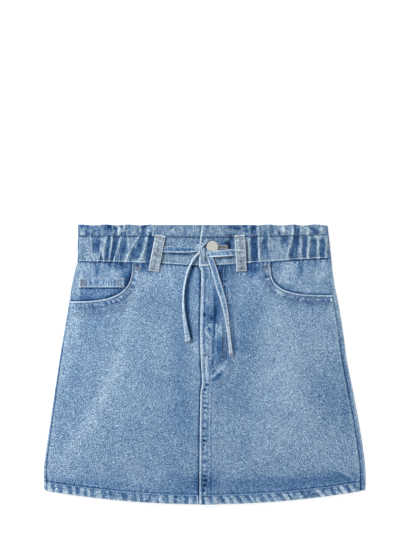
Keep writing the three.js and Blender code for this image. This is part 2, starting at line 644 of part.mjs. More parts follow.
// The knot: a rounded lump of strip drawn in where the upper turn crosses it
function tieKnot() {
  const geometry = new THREE.SphereGeometry(1, 16, 12);
  const place = geometry.getAttribute("position");
  const foot = surfaceTop(KNOT.x + KNOT.wide / 4, KNOT.y) + GAP;
  for (let i = 0; i < place.count; i++) {
    const waist = 1 - KNOT.waist * Math.exp(-((place.getY(i) / KNOT.waistHalf) ** 2));
    place.setXYZ(
      i,
      KNOT.x + (place.getX(i) * waist * KNOT.wide) / 2,
      KNOT.y + (place.getY(i) * KNOT.tall) / 2,
      foot + ((place.getZ(i) + 1) * KNOT.deep) / 2,
    );
  }
  return joined(geometry);
}

// Domed button on a shank that stands on the left band
function button() {
  const { across, deep, shank } = BUTTON;
  const foot = bandLow + BAND + GAP;
  const plate = bandLow + BAND + bandLap(BUTTON.x) + GAP;
  const radius = across / 2;
  const profile = [
    [0, foot],
    [shank / 2, foot],
    [shank / 2, plate],
    ...BUTTON_RIM.map(({ inset: from, rise }) => [radius - from, plate + rise]),
    [0, plate + deep],
  ].map(([r, z]) => new THREE.Vector2(r, z));
  const geometry = new THREE.LatheGeometry(profile, BUTTON_SIDES);
  geometry.rotateX(Math.PI / 2);
  geometry.translate(BUTTON.x, BUTTON.y, 0);
  return joined(geometry);
}

const wasm = await Module();
wasm.setup();

function solid(geometry) {
  return new wasm.Manifold(
    new wasm.Mesh({
      numProp: 3,
      vertProperties: new Float32Array(geometry.getAttribute("position").array),
      triVerts: new Uint32Array(geometry.index.array),
    }),
  );
}

function geometryOf(manifold) {
  const { vertProperties, triVerts } = manifold.getMesh();
  const geometry = new THREE.BufferGeometry();
  geometry.setAttribute("position", new THREE.BufferAttribute(vertProperties, 3));
  geometry.setIndex(new THREE.BufferAttribute(triVerts, 1));
  geometry.computeVertexNormals();
  return geometry;
}

// The right band with its keyhole cut through: a round eye at the shank and a slot beside it
function buttonholedBand() {
  const keyhole = new THREE.Shape();
  const eye = BUTTONHOLE.eye / 2;
  const half = BUTTONHOLE.slot / 2;
  const start = Math.asin(half / eye);
  keyhole.absarc(0, 0, eye, start, 2 * Math.PI - start, false);
  keyhole.lineTo(BUTTONHOLE.end - BUTTON.x, -half);
  keyhole.lineTo(BUTTONHOLE.end - BUTTON.x, half);
  const cut = { depth: 5 * (bandLow + BAND), bevelEnabled: false, curveSegments: BUTTONHOLE.steps };
  const cutter = new THREE.ExtrudeGeometry(keyhole, cut);
  cutter.translate(BUTTON.x, BUTTON.y, 0);
  return geometryOf(solid(frontBand(1)).subtract(solid(joined(cutter))));
}

// Finishes: colour, roughness and metalness
const DENIM = { color: 0x84a2c0, roughness: 0.92, metalness: 0 };
const DENIM_BAND = { color: 0x7493b8, roughness: 0.92, metalness: 0 };
const DENIM_FACING = { color: 0x6f8fb4, roughness: 0.92, metalness: 0 };
const DENIM_LOOP = { color: 0x93a5b6, roughness: 0.94, metalness: 0 };
const DENIM_TIE = { color: 0x8ba3bd, roughness: 0.92, metalness: 0 };
const BUTTON_METAL = { color: 0xc9c6bd, roughness: 0.38, metalness: 0.85 };

function piece(name, geometry, finish) {
  const mesh = new THREE.Mesh(geometry, new THREE.MeshStandardMaterial(finish));
  mesh.name = name;
  return mesh;
}

const skirt = new THREE.Group();
skirt.add(
  piece("back_panel", backPanel(), DENIM),
  piece("front_left", frontPanel(-1), DENIM),
  piece("front_right", frontPanel(1), DENIM),
  piece("pocket_facing_left", pocketFacing(-1), DENIM_FACING),
  piece("pocket_facing_right", pocketFacing(1), DENIM_FACING),
  piece("coin_pocket", coinPocket(), DENIM_FACING),
  piece("waistband_elastic", elasticBand(), DENIM_BAND),
  piece("waistband_front_left", frontBand(-1), DENIM_BAND),
  piece("waistband_front_right", buttonholedBand(), DENIM_BAND),
  piece("belt_loop_left", beltLoop(LOOPS.left), DENIM_LOOP),
  piece("belt_loop_right", beltLoop(LOOPS.right), DENIM_LOOP),
  piece("tie_left_held", tie(TIE_LEFT_HELD, TIE_WIDTH, STRAP, TIE_STEPS.held), DENIM_TIE),
  piece("tie_right_held", tie(TIE_RIGHT_HELD, TIE_WIDTH, STRAP, TIE_STEPS.held), DENIM_TIE),
  piece("tie_knot", tieKnot(), DENIM_TIE),
  piece("tie_left_end", tie(TIE_LEFT_END, TIE_ON_EDGE.wide, TIE_ON_EDGE.deep, TIE_STEPS.end), DENIM_TIE),
  piece("tie_right_end", tie(TIE_RIGHT_END, TIE_WIDTH, STRAP, TIE_STEPS.end), DENIM_TIE),
  piece("button", button(), BUTTON_METAL),
);

export default skirt;
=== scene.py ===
"""A denim mini skirt with a gathered paperbag waist, laid flat: its cloth, sewing, ties and button."""

import bpy
import numpy as np
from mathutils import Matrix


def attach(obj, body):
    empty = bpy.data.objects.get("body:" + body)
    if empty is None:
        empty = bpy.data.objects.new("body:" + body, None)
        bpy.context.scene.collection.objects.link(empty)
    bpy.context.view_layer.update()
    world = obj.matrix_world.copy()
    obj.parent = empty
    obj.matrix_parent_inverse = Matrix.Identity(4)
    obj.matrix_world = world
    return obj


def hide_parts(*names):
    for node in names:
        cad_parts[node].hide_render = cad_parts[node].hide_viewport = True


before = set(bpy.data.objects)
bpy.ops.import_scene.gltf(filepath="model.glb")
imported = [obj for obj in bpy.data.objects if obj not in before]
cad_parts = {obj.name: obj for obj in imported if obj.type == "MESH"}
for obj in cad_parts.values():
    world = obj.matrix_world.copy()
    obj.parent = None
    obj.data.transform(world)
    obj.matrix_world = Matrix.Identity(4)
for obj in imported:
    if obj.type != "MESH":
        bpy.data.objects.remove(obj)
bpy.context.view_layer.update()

MM = 0.001  # the tables below are in millimetres

# Cloth and seams
CLOTH = 1.3
FACING = 1.1
COIN = 1.1
BAND = 2.0
HEM = 2.6
HEM_DEPTH = 13.0
STRAP = 1.8
GAP = 0.3
TUCK = 0.8  # a panel's edge inside the band that it is sewn to

# The whole outline
WAIST_TOP = 199.6
HEM_LOWEST = -199.4
HEM_RISE = 20.0
HALF_HEM = 229.5


def table(names, *rows):
    """Rows of numbers as a dict of named columns."""
    return dict(zip(names.split(), np.array(rows, float).T))


OUTLINE = table(
    "drop left right",
    (0, 180.6, 175.4),
    (30, 181.2, 178.6),
    (54, 181.6, 181.4),
    (62, 184.6, 182.2),
    (88, 190.0, 185.8),
    (108, 192.8, 190.0),
    (150, 200.0, 197.2),
    (193, 207.0, 203.0),
    (250, 215.6, 214.2),
    (307, 224.0, 224.2),
    (350, 229.5, 229.5),
    (378, 228.4, 229.4),
)
SEAM_INSET = table("drop left right", (60, 2.6, 5.6), (250, 2.8, 7.0), (378, 4.6, 7.6))
BAND_SEAM = table(
    "x seam heading",
    (-182, 145.8, 183.4),
    (-77, 143.2, 182.6),
    (0, 139.4, 181.7),
    (63, 143.2, 182.6),
    (133, 148.0, 184.0),
    (182, 150.3, 186.0),
)
LAP_EDGE = table(
    "y x",
    (199.6, -3.6),
    (171, -7.4),
    (140, -7.8),
    (132, -5.0),
    (48, -6.5),
    (6, -5.3),
    (-27, -3.4),
    (-38, -5.6),
    (-150, -7.1),
    (-200, -7.1),
)
FLY_LAP = 30.0
FLY_FOOT = -10.0
SEAM_LAP = 8.0
FACING_LAP = 12.0
MOUTHS = {
    -1: {"top": -103.8, "depth": 54.4, "power": 3.0},
    1: {"top": 93.9, "depth": 47.0, "power": 3.3},
}
COIN_POCKET = {"left": -179.0, "right": -114.2, "top": 123.2, "bottom": 78.0}
JOIN = {-1: -67.0, 1: 51.5}
UNDERLAP_END = 30.0

# Gathers of the band: places at the heading, half way and at the seam, the stretch they run along,
# height, half width, and how much lighter the crest is, partly bleaching and partly painted highlight
GATHERS = table(
    "head half seam start stop high wide worn",
    (-161.6, -160.8, -156.6, 0, 0.95, 1.2, 2.6, 0.95),
    (-162.4, -163.6, -163, 0.4, 1, 0.8, 2.2, 0.7),
    (-138.2, -143.6, -143.4, 0, 1, 1.4, 2.6, 0.95),
    (-141, -146.6, -152.8, 0.42, 1, 1.2, 2.2, 1.05),
    (-131.2, -133.2, -136.8, 0, 1, 1.3, 2.6, 1.05),
    (-118.4, -124.4, -129.8, 0, 1, 1.5, 2.6, 1.1),
    (-121.2, -121.2, -121.2, 0.7, 1, 0.7, 2, 0.6),
    (-109.9, -108, -107.2, 0, 0.55, 1.1, 2.4, 0.85),
    (-92.7, -105.4, -112.8, 0, 1, 1.6, 2.6, 1.1),
    (-81.2, -86, -92.4, 0, 1, 1.4, 2.6, 0.95),
    (63.8, 63.4, 64.6, 0, 1, 1.1, 2.2, 0.7),
    (77, 77.2, 78.8, 0, 1, 1.6, 2.6, 1.1),
    (82.8, 78.4, 77.8, 0, 0.3, 0.8, 1.6, 0.8),
    (91.3, 91.6, 91, 0, 0.5, 0.9, 3, 0.4),
    (105.4, 106, 105.6, 0, 0.3, 0.9, 2.4, 0.8),
    (126.6, 120.6, 117.6, 0, 1, 1.6, 2.8, 1.1),
    (137.4, 137.6, 138.6, 0.2, 1, 1.3, 2.4, 0.95),
    (150.1, 148.4, 147.2, 0, 1, 1.5, 2.6, 1.05),
    (161.6, 162.4, 163.6, 0.12, 1, 1.3, 2.4, 0.95),
    (174.8, 174, 172.6, 0, 1, 1.1, 2.4, 0.85),
    (129.2, 129.2, 129.4, 0.6, 1, 0.6, 2, 0.5),
)

# Cloth between the gathers: darker in hollows, from indigo the hollows retain and from painted shade, and
# lighter on tops that were bleached
HOLLOWS = table(
    "head seam half start stop tone",
    (-153.6, -153.2, 5.0, 0.04, 0.62, -0.7),
    (-148.6, -147.4, 2.4, 0.55, 1, -0.85),
    (-135.0, -140.0, 2.7, 0, 1, -0.85),
    (-125.2, -132.4, 4.2, 0, 1, -0.95),
    (-114.0, -120.8, 4.6, 0, 1, -0.62),
    (-88.4, -100.0, 4.6, 0, 0.8, -0.8),
    (-96.0, -106.0, 2.8, 0.45, 1, -0.7),
    (-75.4, -79.8, 4.6, -0.1, 1, -1.0),
    (-104.0, -104.0, 4.0, 0, 0.36, 0.2),
    (-90.0, -89.0, 2.8, 0.5, 1, 0.3),
    (-172.4, -172.4, 8.0, 0, 1, 0.12),
    (70.4, 70.6, 4.9, 0, 1, -1.0),
    (85.6, 83.4, 5.0, 0.08, 0.7, -0.65),
    (114.0, 115.0, 5.4, 0, 0.38, -0.5),
    (131.0, 126.0, 5.0, 0, 1, -0.85),
    (142.6, 142.2, 3.8, 0.05, 1, -0.75),
    (155.6, 155.0, 4.2, 0.15, 1, -0.8),
    (168.8, 168.0, 3.8, 0.15, 1, -0.8),
    (178.4, 178.4, 1.8, 0, 1, -0.6),
    (103.0, 103.0, 12.0, 0.22, 1, 0.2),
    (163.0, 163.0, 5.0, 0, 0.22, 0.5),
    (138.6, 138.6, 3.0, 0, 0.3, 0.3),
)

# Waves of the ruffle above its stitching, their crests lighter, partly bleaching and partly painted highlight
RUFFLES = table(
    "x high wide lean worn",
    (-172.6, 1, 3.2, 1.5, 0.3),
    (-161.5, 1.4, 3, -1, 0.4),
    (-145.6, 1.2, 3.2, 1, 0.3),
    (-131, 0.8, 1.6, 0, 0.5),
    (-122.2, 1.7, 2, 0.5, 0.95),
    (-114.2, 1.6, 2, 0, 0.85),
    (-101, 1.2, 5, -1, 0.2),
    (-79.6, 1.4, 2, 5, 0.9),
    (-73.2, 1.7, 1.8, 0.6, 0.95),
    (65.2, 1.4, 2.4, -4, 0.7),
    (77, 1.6, 2.4, 0.4, 0.7),
    (91.8, 1.4, 2.4, 0.5, 0.6),
    (102.2, 1.4, 2, 0, 0.7),
    (113.2, 1.6, 2.2, -1, 0.8),
    (125.4, 1.7, 2, 1.6, 0.9),
    (139, 1.3, 3.4, -1, 0.4),
    (147, 1.6, 2.2, 1, 0.8),
    (167, 1.3, 3, 1, 0.5),
)
# Hollows of the ruffle, darker, partly indigo they retain and partly painted shade
RUFFLE_HOLLOWS = table(
    "x half tone",
    (-178.4, 1.8, -0.5),
    (-167.4, 2.4, -0.6),
    (-154.4, 2.8, -0.35),
    (-136.0, 3.4, -0.8),
    (-127.6, 2.4, -0.95),
    (-118.2, 1.7, -0.8),
    (-86.0, 4.4, -1.0),
    (-77.0, 2.4, -1.1),
    (-62.0, 5.0, -0.4),
    (58.6, 4.2, -0.6),
    (70.4, 4.0, -0.95),
    (86.2, 2.4, -0.7),
    (97.2, 2.2, -0.6),
    (107.4, 2.8, -0.5),
    (118.8, 3.2, -0.5),
    (130.8, 4.0, -0.95),
    (154.2, 2.6, -0.85),
    (161.0, 4.4, -0.5),
    (175.8, 2.6, -0.6),
)
FOLDS = table(
    "x y to_x to_y wide high",
    (14, 120, 10, 10, 9, -0.9),
    (-60, 130, -78, 40, 14, 0.8),
    (-140, 60, -165, -110, 22, 0.7),
    (-95, -20, -110, -175, 20, 0.8),
    (60, 128, 74, 10, 15, 0.8),
    (120, 40, 150, -120, 24, 0.9),
    (60, -60, 70, -170, 18, -0.6),
    (20, -4, 52, -30, 8, 0.8),
)
LOFT = 2.2

LOOPS = {-1: ((-62.6, 184.0), (-72.6, 132.6)), 1: ((50.1, 184.4), (52.9, 132.6))}
LOOP_WIDTH = 15.0
LOOP_LENGTH = 52.0

KNOT_TURNS = (
    # each turn's places as x, y and height over the band's lap, with its widths, tilts, bright edges and tone
    (
        ((-5.0, 159.6, 0.2), (-8.6, 161.4, 0.9), (-10.0, 165.2, 1.8), (-8.8, 168.8, 3.0), (-6.6, 168.6, 4.2),
         (-5.8, 164.6, 5.2), (-5.2, 160.0, 5.4), (-4.0, 155.6, 4.2), (-2.6, 151.6, 1.6), (-1.8, 149.6, -0.6)),
        (3.0, 3.2, 3.4, 3.8, 4.6, 5.2, 5.4, 4.6, 3.4, 2.6),
        (0, -6, -18, -12, 0, 6, 6, 4, 0, 0),
        (0.8, 0.6),
        0.5,
    ),
    (
        ((0.0, 166.2, 0.6), (-0.6, 163.6, 3.2), (-0.7, 160.0, 4.8), (-0.5, 155.6, 5.2), (-0.5, 151.6, 4.0),
         (-1.0, 147.8, 1.0), (-1.4, 146.0, -0.8)),
        (3.0, 3.2, 3.4, 3.4, 3.2, 2.8, 2.4),
        (0, 6, 10, 10, 8, 0, 0),
        (0.4, 1.0),
        0.3,
    ),
    (
        ((-7.0, 164.4, 1.2), (-4.4, 168.2, 3.2), (-1.8, 171.2, 3.4), (0.8, 173.8, 2.6), (3.2, 175.8, 1.2),
         (5.4, 177.0, -0.4), (7.0, 177.4, -1.4)),
        (4.4, 4.8, 5.0, 4.8, 4.4, 3.4, 2.4),
        (0, 6, 8, 6, 0, 0, 0),
        (0.3, 0.35),
        0.3,
    ),
)
TIE_LEFT_HELD = (
    (-71.5, 163.6, 0.0),
    (-56, 164.0, 0.3),
    (-38, 163.6, 0.7),
    (-20, 163.2, 1.4),
    (-8.6, 163.4, 2.2),
)
TIE_RIGHT_HELD = (
    (58.5, 160.4, 0.0),
    (46, 159.8, 0.1),
    (32, 158.8, 0.8),
    (18, 157.4, 2.2),
    (9.6, 157.0, 2.4),
    (3.4, 156.8, 2.2),
)
TIE_LEFT_END = (
    (-4.4, 160.4, 1.4),
    (-9.0, 157.4, 1.8),
    (-15.2, 150.6, 1.4),
    (-20.6, 140.4, 1.0),
    (-25.2, 127.4, 0.8),
    (-29.0, 108.0, 0.5),
    (-30.0, 88.0, 0.4),
    (-28.8, 68.0, 0.3),
    (-26.0, 50.0, 0.2),
    (-23.2, 33.0, 0.1),
)
TIE_RIGHT_END = (
    (3.2, 162.6, 1.4),
    (5.2, 156.8, 2.6),
    (8.8, 149.0, 1.8),
    (13.4, 136.4, 0.8),
    (17.6, 121.8, 0.5),
    (22.2, 106.0, 0.3),
    (27.2, 89.0, 0.3),
    (30.6, 72.0, 0.3),
    (33.0, 54.0, 0.6),
    (35.0, 37.0, 0.8),
    (37.8, 15.4, 0.9),
)
BUTTON = {"x": 11.2, "y": 167.0, "across": 17.2, "deep": 2.6, "shank": 5.0}
BUTTONHOLE = {"end": 31.5, "slot": 2.2, "eye": 6.4}


# Blends and curves, all on whole arrays
def lerp(a, b, t):
    """From a at 0 to b at 1, in a straight line."""
    return a + (b - a) * t


def ease(start, stop, at):
    """0 before start and 1 after stop, along the curve 3t squared less 2t cubed."""
    t = np.clip((np.asarray(at, float) - start) / (stop - start), 0, 1)
    return t * t * (3 - 2 * t)


def hump(distance, width):
    """A bell: e to the power of minus the square of distance over width."""
    return np.exp(-((distance / width) ** 2))


def through(rows, key, column):
    """Smooth curve through a table: cubic between rows, each slope the chord across the rows about it."""
    order = np.argsort(rows[key])
    xs = rows[key][order]
    ys = rows[column][order]
    last = len(xs) - 1
    before = np.maximum(np.arange(last + 1) - 1, 0)
    after = np.minimum(np.arange(last + 1) + 1, last)
    slope = (ys[after] - ys[before]) / (xs[after] - xs[before])

    def at(x):
        """The curve's height at a place, held level past its ends."""
        here = np.clip(x, xs[0], xs[last])
        b = np.clip(np.searchsorted(xs, here), 1, last)
        a = b - 1
        run = xs[b] - xs[a]
        t = (here - xs[a]) / run
        s = 1 - t
        bends = slope[a] * run * t * s * s - slope[b] * run * s * t * t
        return ys[a] * (1 + 2 * t) * s * s + ys[b] * (3 - 2 * t) * t * t + bends

    return at


NOISE_CELLS = 64  # after so many cells each way the noise repeats


def cloth_noise(x, y, size, seed):
    """Smooth noise from -1 to 1: random values on a square lattice of that size, eased between them."""
    lattice = np.random.default_rng(seed).uniform(-1, 1, (NOISE_CELLS, NOISE_CELLS))
    gx = np.asarray(x) / size + 31.7
    gy = np.asarray(y) / size + 17.3
    i = np.floor(gx).astype(int)
    j = np.floor(gy).astype(int)
    fx = ease(0, 1, gx - i)
    fy = ease(0, 1, gy - j)
    i, j, next_i, next_j = (index % NOISE_CELLS for index in (i, j, i + 1, j + 1))
    row = lerp(lattice[i, j], lattice[next_i, j], fx)
    next_row = lerp(lattice[i, next_j], lattice[next_i, next_j], fx)
    return lerp(row, next_row, fy)


def line_places(x, y, from_x, from_y, to_x, to_y):
    """Places against a line, from products with its run: share of the way along it and distance aside."""
    run_x = to_x - from_x
    run_y = to_y - from_y
    length = np.hypot(run_x, run_y)
    along = ((x - from_x) * run_x + (y - from_y) * run_y) / length**2
    aside = ((x - from_x) * run_y - (y - from_y) * run_x) / length
    return along, aside


def patches(x, y, rows):
    """Sum of broad lighter and darker places: each a bell each way about a middle."""
    tone = np.zeros(x.shape)
    for at_x, at_y, wide, tall, amount in zip(*rows.values()):
        tone += amount * hump(x - at_x, wide) * hump(y - at_y, tall)
    return tone


def sided(side, function, *values):
    """A function whose first value is the side, -1 or 1, at places that lie on both sides."""
    return np.where(side < 0, function(-1, *values), function(1, *values))


half_width = {-1: through(OUTLINE, "drop", "left"), 1: through(OUTLINE, "drop", "right")}
inset = {-1: through(SEAM_INSET, "drop", "left"), 1: through(SEAM_INSET, "drop", "right")}
band_seam = through(BAND_SEAM, "x", "seam")
heading_line = through(BAND_SEAM, "x", "heading")
lap_edge = through(LAP_EDGE, "y", "x")


def outline_x(side, y):
    """Where the outline is at a height: the side times the half width there."""
    return side * half_width[side](WAIST_TOP - y)


def seam_x(side, y):
    """Where the side seam is at a height, a little inside the outline."""
    return outline_x(side, y) - side * inset[side](WAIST_TOP - y)


def hem_y(x):
    """Lower edge: a parabola that rises from the middle to the corners."""
    return HEM_LOWEST + HEM_RISE * (x / HALF_HEM) ** 2


def underlap_x(y):
    """Right-hand end of the left front under the lap: wide along the fly, narrow below its foot."""
    return lerp(SEAM_LAP, FLY_LAP, ease(FLY_FOOT - 26, FLY_FOOT + 2, y))


def top_edge(x):
    """The waist's top edge, scalloped by the ruffle outside the belt loops."""
    return WAIST_TOP - 0.7 - 0.7 * np.sin(x / 5.3) * ease(50, 90, np.abs(x))


# Levels of the layers
def panel_thickness(x, y):
    """One layer, growing into the turned hem."""
    return lerp(CLOTH, HEM, ease(hem_y(x) + HEM_DEPTH + 3, hem_y(x) + HEM_DEPTH, y))


def hem_lift(x, y):
    """How far the turned hem of the back raises what lies on it."""
    return (HEM - CLOTH) * ease(hem_y(x) + HEM_DEPTH + 14, hem_y(x) + HEM_DEPTH, y)


def band_lift(x, y):
    """How far the panels rise to meet the thicker band."""
    return (BAND - CLOTH + 0.3) * ease(band_seam(x) - 16, band_seam(x), y)


def mouth_radius(side, x, y, grow=0.0):
    """A place against a pocket's mouth: the superellipse's own radius, 1 on its edge and more outside."""
    mouth = MOUTHS[side]
    corner = band_seam(mouth["top"])
    outer = seam_x(side, corner - mouth["depth"])
    across = np.maximum(0, side * (outer - x)) / (abs(outer - mouth["top"]) + grow)
    down = np.maximum(0, corner - y) / (mouth["depth"] + grow)
    return (across ** mouth["power"] + down ** mouth["power"]) ** (1 / mouth["power"])


def mouth_distance(side, x, y):
    """Distance outside a pocket's mouth: its radius less 1, over how fast the radius grows there."""
    step = 0.5
    radius = mouth_radius(side, x, y)
    slope_x = (mouth_radius(side, x + step, y) - mouth_radius(side, x - step, y)) / (2 * step)
    slope_y = (mouth_radius(side, x, y + step) - mouth_radius(side, x, y - step)) / (2 * step)
    return (radius - 1) / np.maximum(np.hypot(slope_x, slope_y), 1e-4)


def facing_share(side, x, y):
    """1 where the facing lies under the front, 0 past its edge."""
    return ease(1.16, 1.0, mouth_radius(side, x, y, FACING_LAP))


def coin_share(x, y):
    """1 where the coin pocket lies under the front, 0 past its edge."""
    across = np.maximum(COIN_POCKET["left"] - x, x - COIN_POCKET["right"])
    return ease(11, 3, np.maximum(across, COIN_POCKET["bottom"] - y))


def fold_height(x, y):
    """Sum of the soft folds: each a bell across its line, fading at both ends."""
    total = np.zeros(np.broadcast(x, y).shape)
    for *line, wide, high in zip(*FOLDS.values()):
        along, aside = line_places(x, y, *line)
        total += high * ease(-0.25, 0.2, along) * ease(1.25, 0.8, along) * hump(aside, wide)
    return total


def loft_at(side, x, y):
    """How far the front stands off the back: nothing at the seams and most in the middle."""
    from_side = ease(0, 60, side * (seam_x(side, y) - x))
    from_hem = ease(0, 70, y - hem_y(x) - HEM_DEPTH)
    from_band = ease(0, 50, band_seam(x) - y)
    return from_side * from_hem * from_band * (LOFT + fold_height(x, y))


def facing_low(x, y):
    """Underside of a pocket facing."""
    return CLOTH + GAP + band_lift(x, y)


def front_low(side, x, y):
    """Underside of a front panel, over the back and all that lies between them."""
    share = facing_share(side, x, y)
    low = CLOTH + hem_lift(x, y) + GAP + band_lift(x, y) + (FACING + GAP) * share + loft_at(side, x, y)
    if side < 0:
        return low + (COIN + 1.5 * GAP) * coin_share(x, y) * share
    lapped = ease(underlap_x(y) + 16, underlap_x(y) + 4, x)
    return low + (CLOTH + hem_lift(x, y) + 2 * GAP) * lapped


def side_low(side, y):
    """Level that the back's turned edge reaches at the side seam."""
    x = seam_x(side, y)
    low = band_seam(MOUTHS[side]["top"]) - MOUTHS[side]["depth"]
    return lerp(facing_low(x, y), front_low(side, x, y), ease(low + 4, low - 4, y))


# Meshes
def placed(name, data):
    """An object of that name and data, in the scene."""
    made = bpy.data.objects.new(name, data)
    bpy.context.scene.collection.objects.link(made)
    return made


def mesh_of(name, points, faces, finish, slot, node=None, **layers):
    """A piece from points in millimetres and faces: its place in its mesh, riding on the one body."""
    mesh = bpy.data.meshes.new(name)
    mesh.from_pydata((np.asarray(points) * MM).tolist(), [], faces.tolist())
    mesh.shade_smooth()
    for layer, values in layers.items():
        if layer == "uv":
            corners = np.empty(len(mesh.loops), np.int32)
            mesh.loops.foreach_get("vertex_index", corners)
            flat = (values * MM)[corners].ravel().astype(np.float32)
            mesh.uv_layers.new(name="Cloth").data.foreach_set("uv", flat)
        else:
            flat = values.ravel().astype(np.float32)
            mesh.attributes.new(layer, "FLOAT", "POINT").data.foreach_set("value", flat)
    mesh.update()
    piece = placed(name, mesh)
    mesh.materials.append(finish)
    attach(piece, "root")
    if node:
        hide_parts(node)
    return piece


def wall(outer, inner):
    """Points and faces of a closed wall between two grids of one size, its rim closed, faces outwards."""
    rows, columns = outer.shape[:2]
    count = rows * columns
    points = np.concatenate([outer.reshape(-1, 3), inner.reshape(-1, 3)])
    index = np.arange(count).reshape(rows, columns)

    def quads(a, b, c, d):
        """Faces of four corners each, from four grids of indices."""
        return np.stack([a.ravel(), b.ravel(), c.ravel(), d.ravel()], 1)

    top = quads(index[:-1, :-1], index[1:, :-1], index[1:, 1:], index[:-1, 1:])
    rim = np.concatenate([index[0, :-1], index[:-1, -1], index[-1, :0:-1], index[:0:-1, 0]])
    ahead = np.roll(rim, -1)
    edge = quads(rim, ahead, ahead + count, rim + count)
    faces = np.concatenate([top, top[:, ::-1] + count, edge])
    a, b, c = points[faces[:, 0]], points[faces[:, 1]], points[faces[:, 2]]
    d = points[faces[:, 3]]
    volume = np.einsum("ij,ij->i", a, np.cross(b, c)).sum() + np.einsum("ij,ij->i", a, np.cross(c, d)).sum()
    return points, (faces if volume > 0 else faces[:, ::-1])


def thick(middle, thickness):
    """Outer and inner grids of a wall: half its thickness along the normal to each side of a middle grid.
    The outer side is the one that faces up along the first column, where every piece lies face up."""
    down = np.gradient(middle, axis=0)
    across = np.gradient(middle, axis=1)
    normal = np.cross(down, across)
    normal /= np.maximum(np.linalg.norm(normal, axis=2, keepdims=True), 1e-9)
    normal *= np.sign(normal[:, 0, 2].mean())
    reach = (np.asarray(thickness) / 2)[..., None] * normal
    return middle + reach, middle - reach


THINNEST = 0.12  # a rolled edge's thickness, as a share of the whole


def rolled(thickness, *edges):
    """Thickness that rounds off over half of itself towards each edge, along a quarter circle of the
    distance inside it, as cloth folded there does."""
    share = 1.0
    for distance in edges:
        t = np.clip(distance / (thickness / 2), 0, 1)
        share = np.minimum(share, np.sqrt(1 - (1 - t) ** 2))
    return thickness * np.maximum(share, THINNEST)


def run_map(middle, y):
    """Map of cloth turned round a fold: its run across, summed along each row, and its height."""
    across = np.cumsum(np.linalg.norm(np.diff(middle, axis=1, prepend=middle[:, :1]), axis=2), axis=1)
    return np.stack([across, y], 2)


def stops(length, spacing, both=True):
    """Places across a piece as shares of its length: close together at its ends and even between them."""
    near = np.array([0, 0.2, 0.45, 0.75, 1.1, 1.5, 2.0, 2.6, 3.3, 4.1])
    far = near[-1] if both else 0
    even = np.linspace(near[-1], length - far, int((length - near[-1] - far) / spacing) + 2)
    ends = [near[:-1], even] + ([length - near[:-1][::-1]] if both else [])
    return np.concatenate(ends) / length


def cloth_piece(name, middle, thickness, wear, finish, slot, node, uv=None):
    """A sheet of cloth as a closed thin wall, with its tone from bleaching and painted shade alike, and its
    own map across and along it.
    """
    outer, inner = thick(middle, thickness)
    points, faces = wall(outer, inner)
    flat = middle[..., :2] if uv is None else uv
    both = np.concatenate([flat.reshape(-1, 2)] * 2)
    shade = np.concatenate([wear.ravel(), np.full(wear.size, -0.25)])
    return mesh_of(name, points, faces, finish, slot, node, uv=both, wear=shade)


# Shaders
STAGE_LIGHT = 1.34  # how bright the stage's light shows a white cloth, where 1 is the screen's white


def srgb(red, green, blue):
    """A colour as the lit cloth shows it on screen, 0 to 255, as the linear colour that a shader takes."""
    seen = np.array([red, green, blue]) / 255
    return (*np.where(seen <= 0.04045, seen / 12.92, ((seen + 0.055) / 1.055) ** 2.4) / STAGE_LIGHT, 1.0)


class Socket:
    """A shader value that Python's operators work on: each one adds a Math node."""

    def __init__(self, shader, socket):
        self.shader = shader
        self.socket = socket

    def math(self, operation, other):
        """This value and another one through a Math node."""
        return self.shader.node("ShaderNodeMath", [self, other], operation=operation)

    def __add__(self, other):
        return self.math("ADD", other)

    def __sub__(self, other):
        return self.math("SUBTRACT", other)

    def __mul__(self, other):
        return self.math("MULTIPLY", other)

    def __rsub__(self, other):
        return (self * -1) + other

    def least(self, other):
        """The lower of the two."""
        return self.math("MINIMUM", other)

    def most(self, other):
        """The higher of the two."""
        return self.math("MAXIMUM", other)

    __radd__ = __add__
    __rmul__ = __mul__


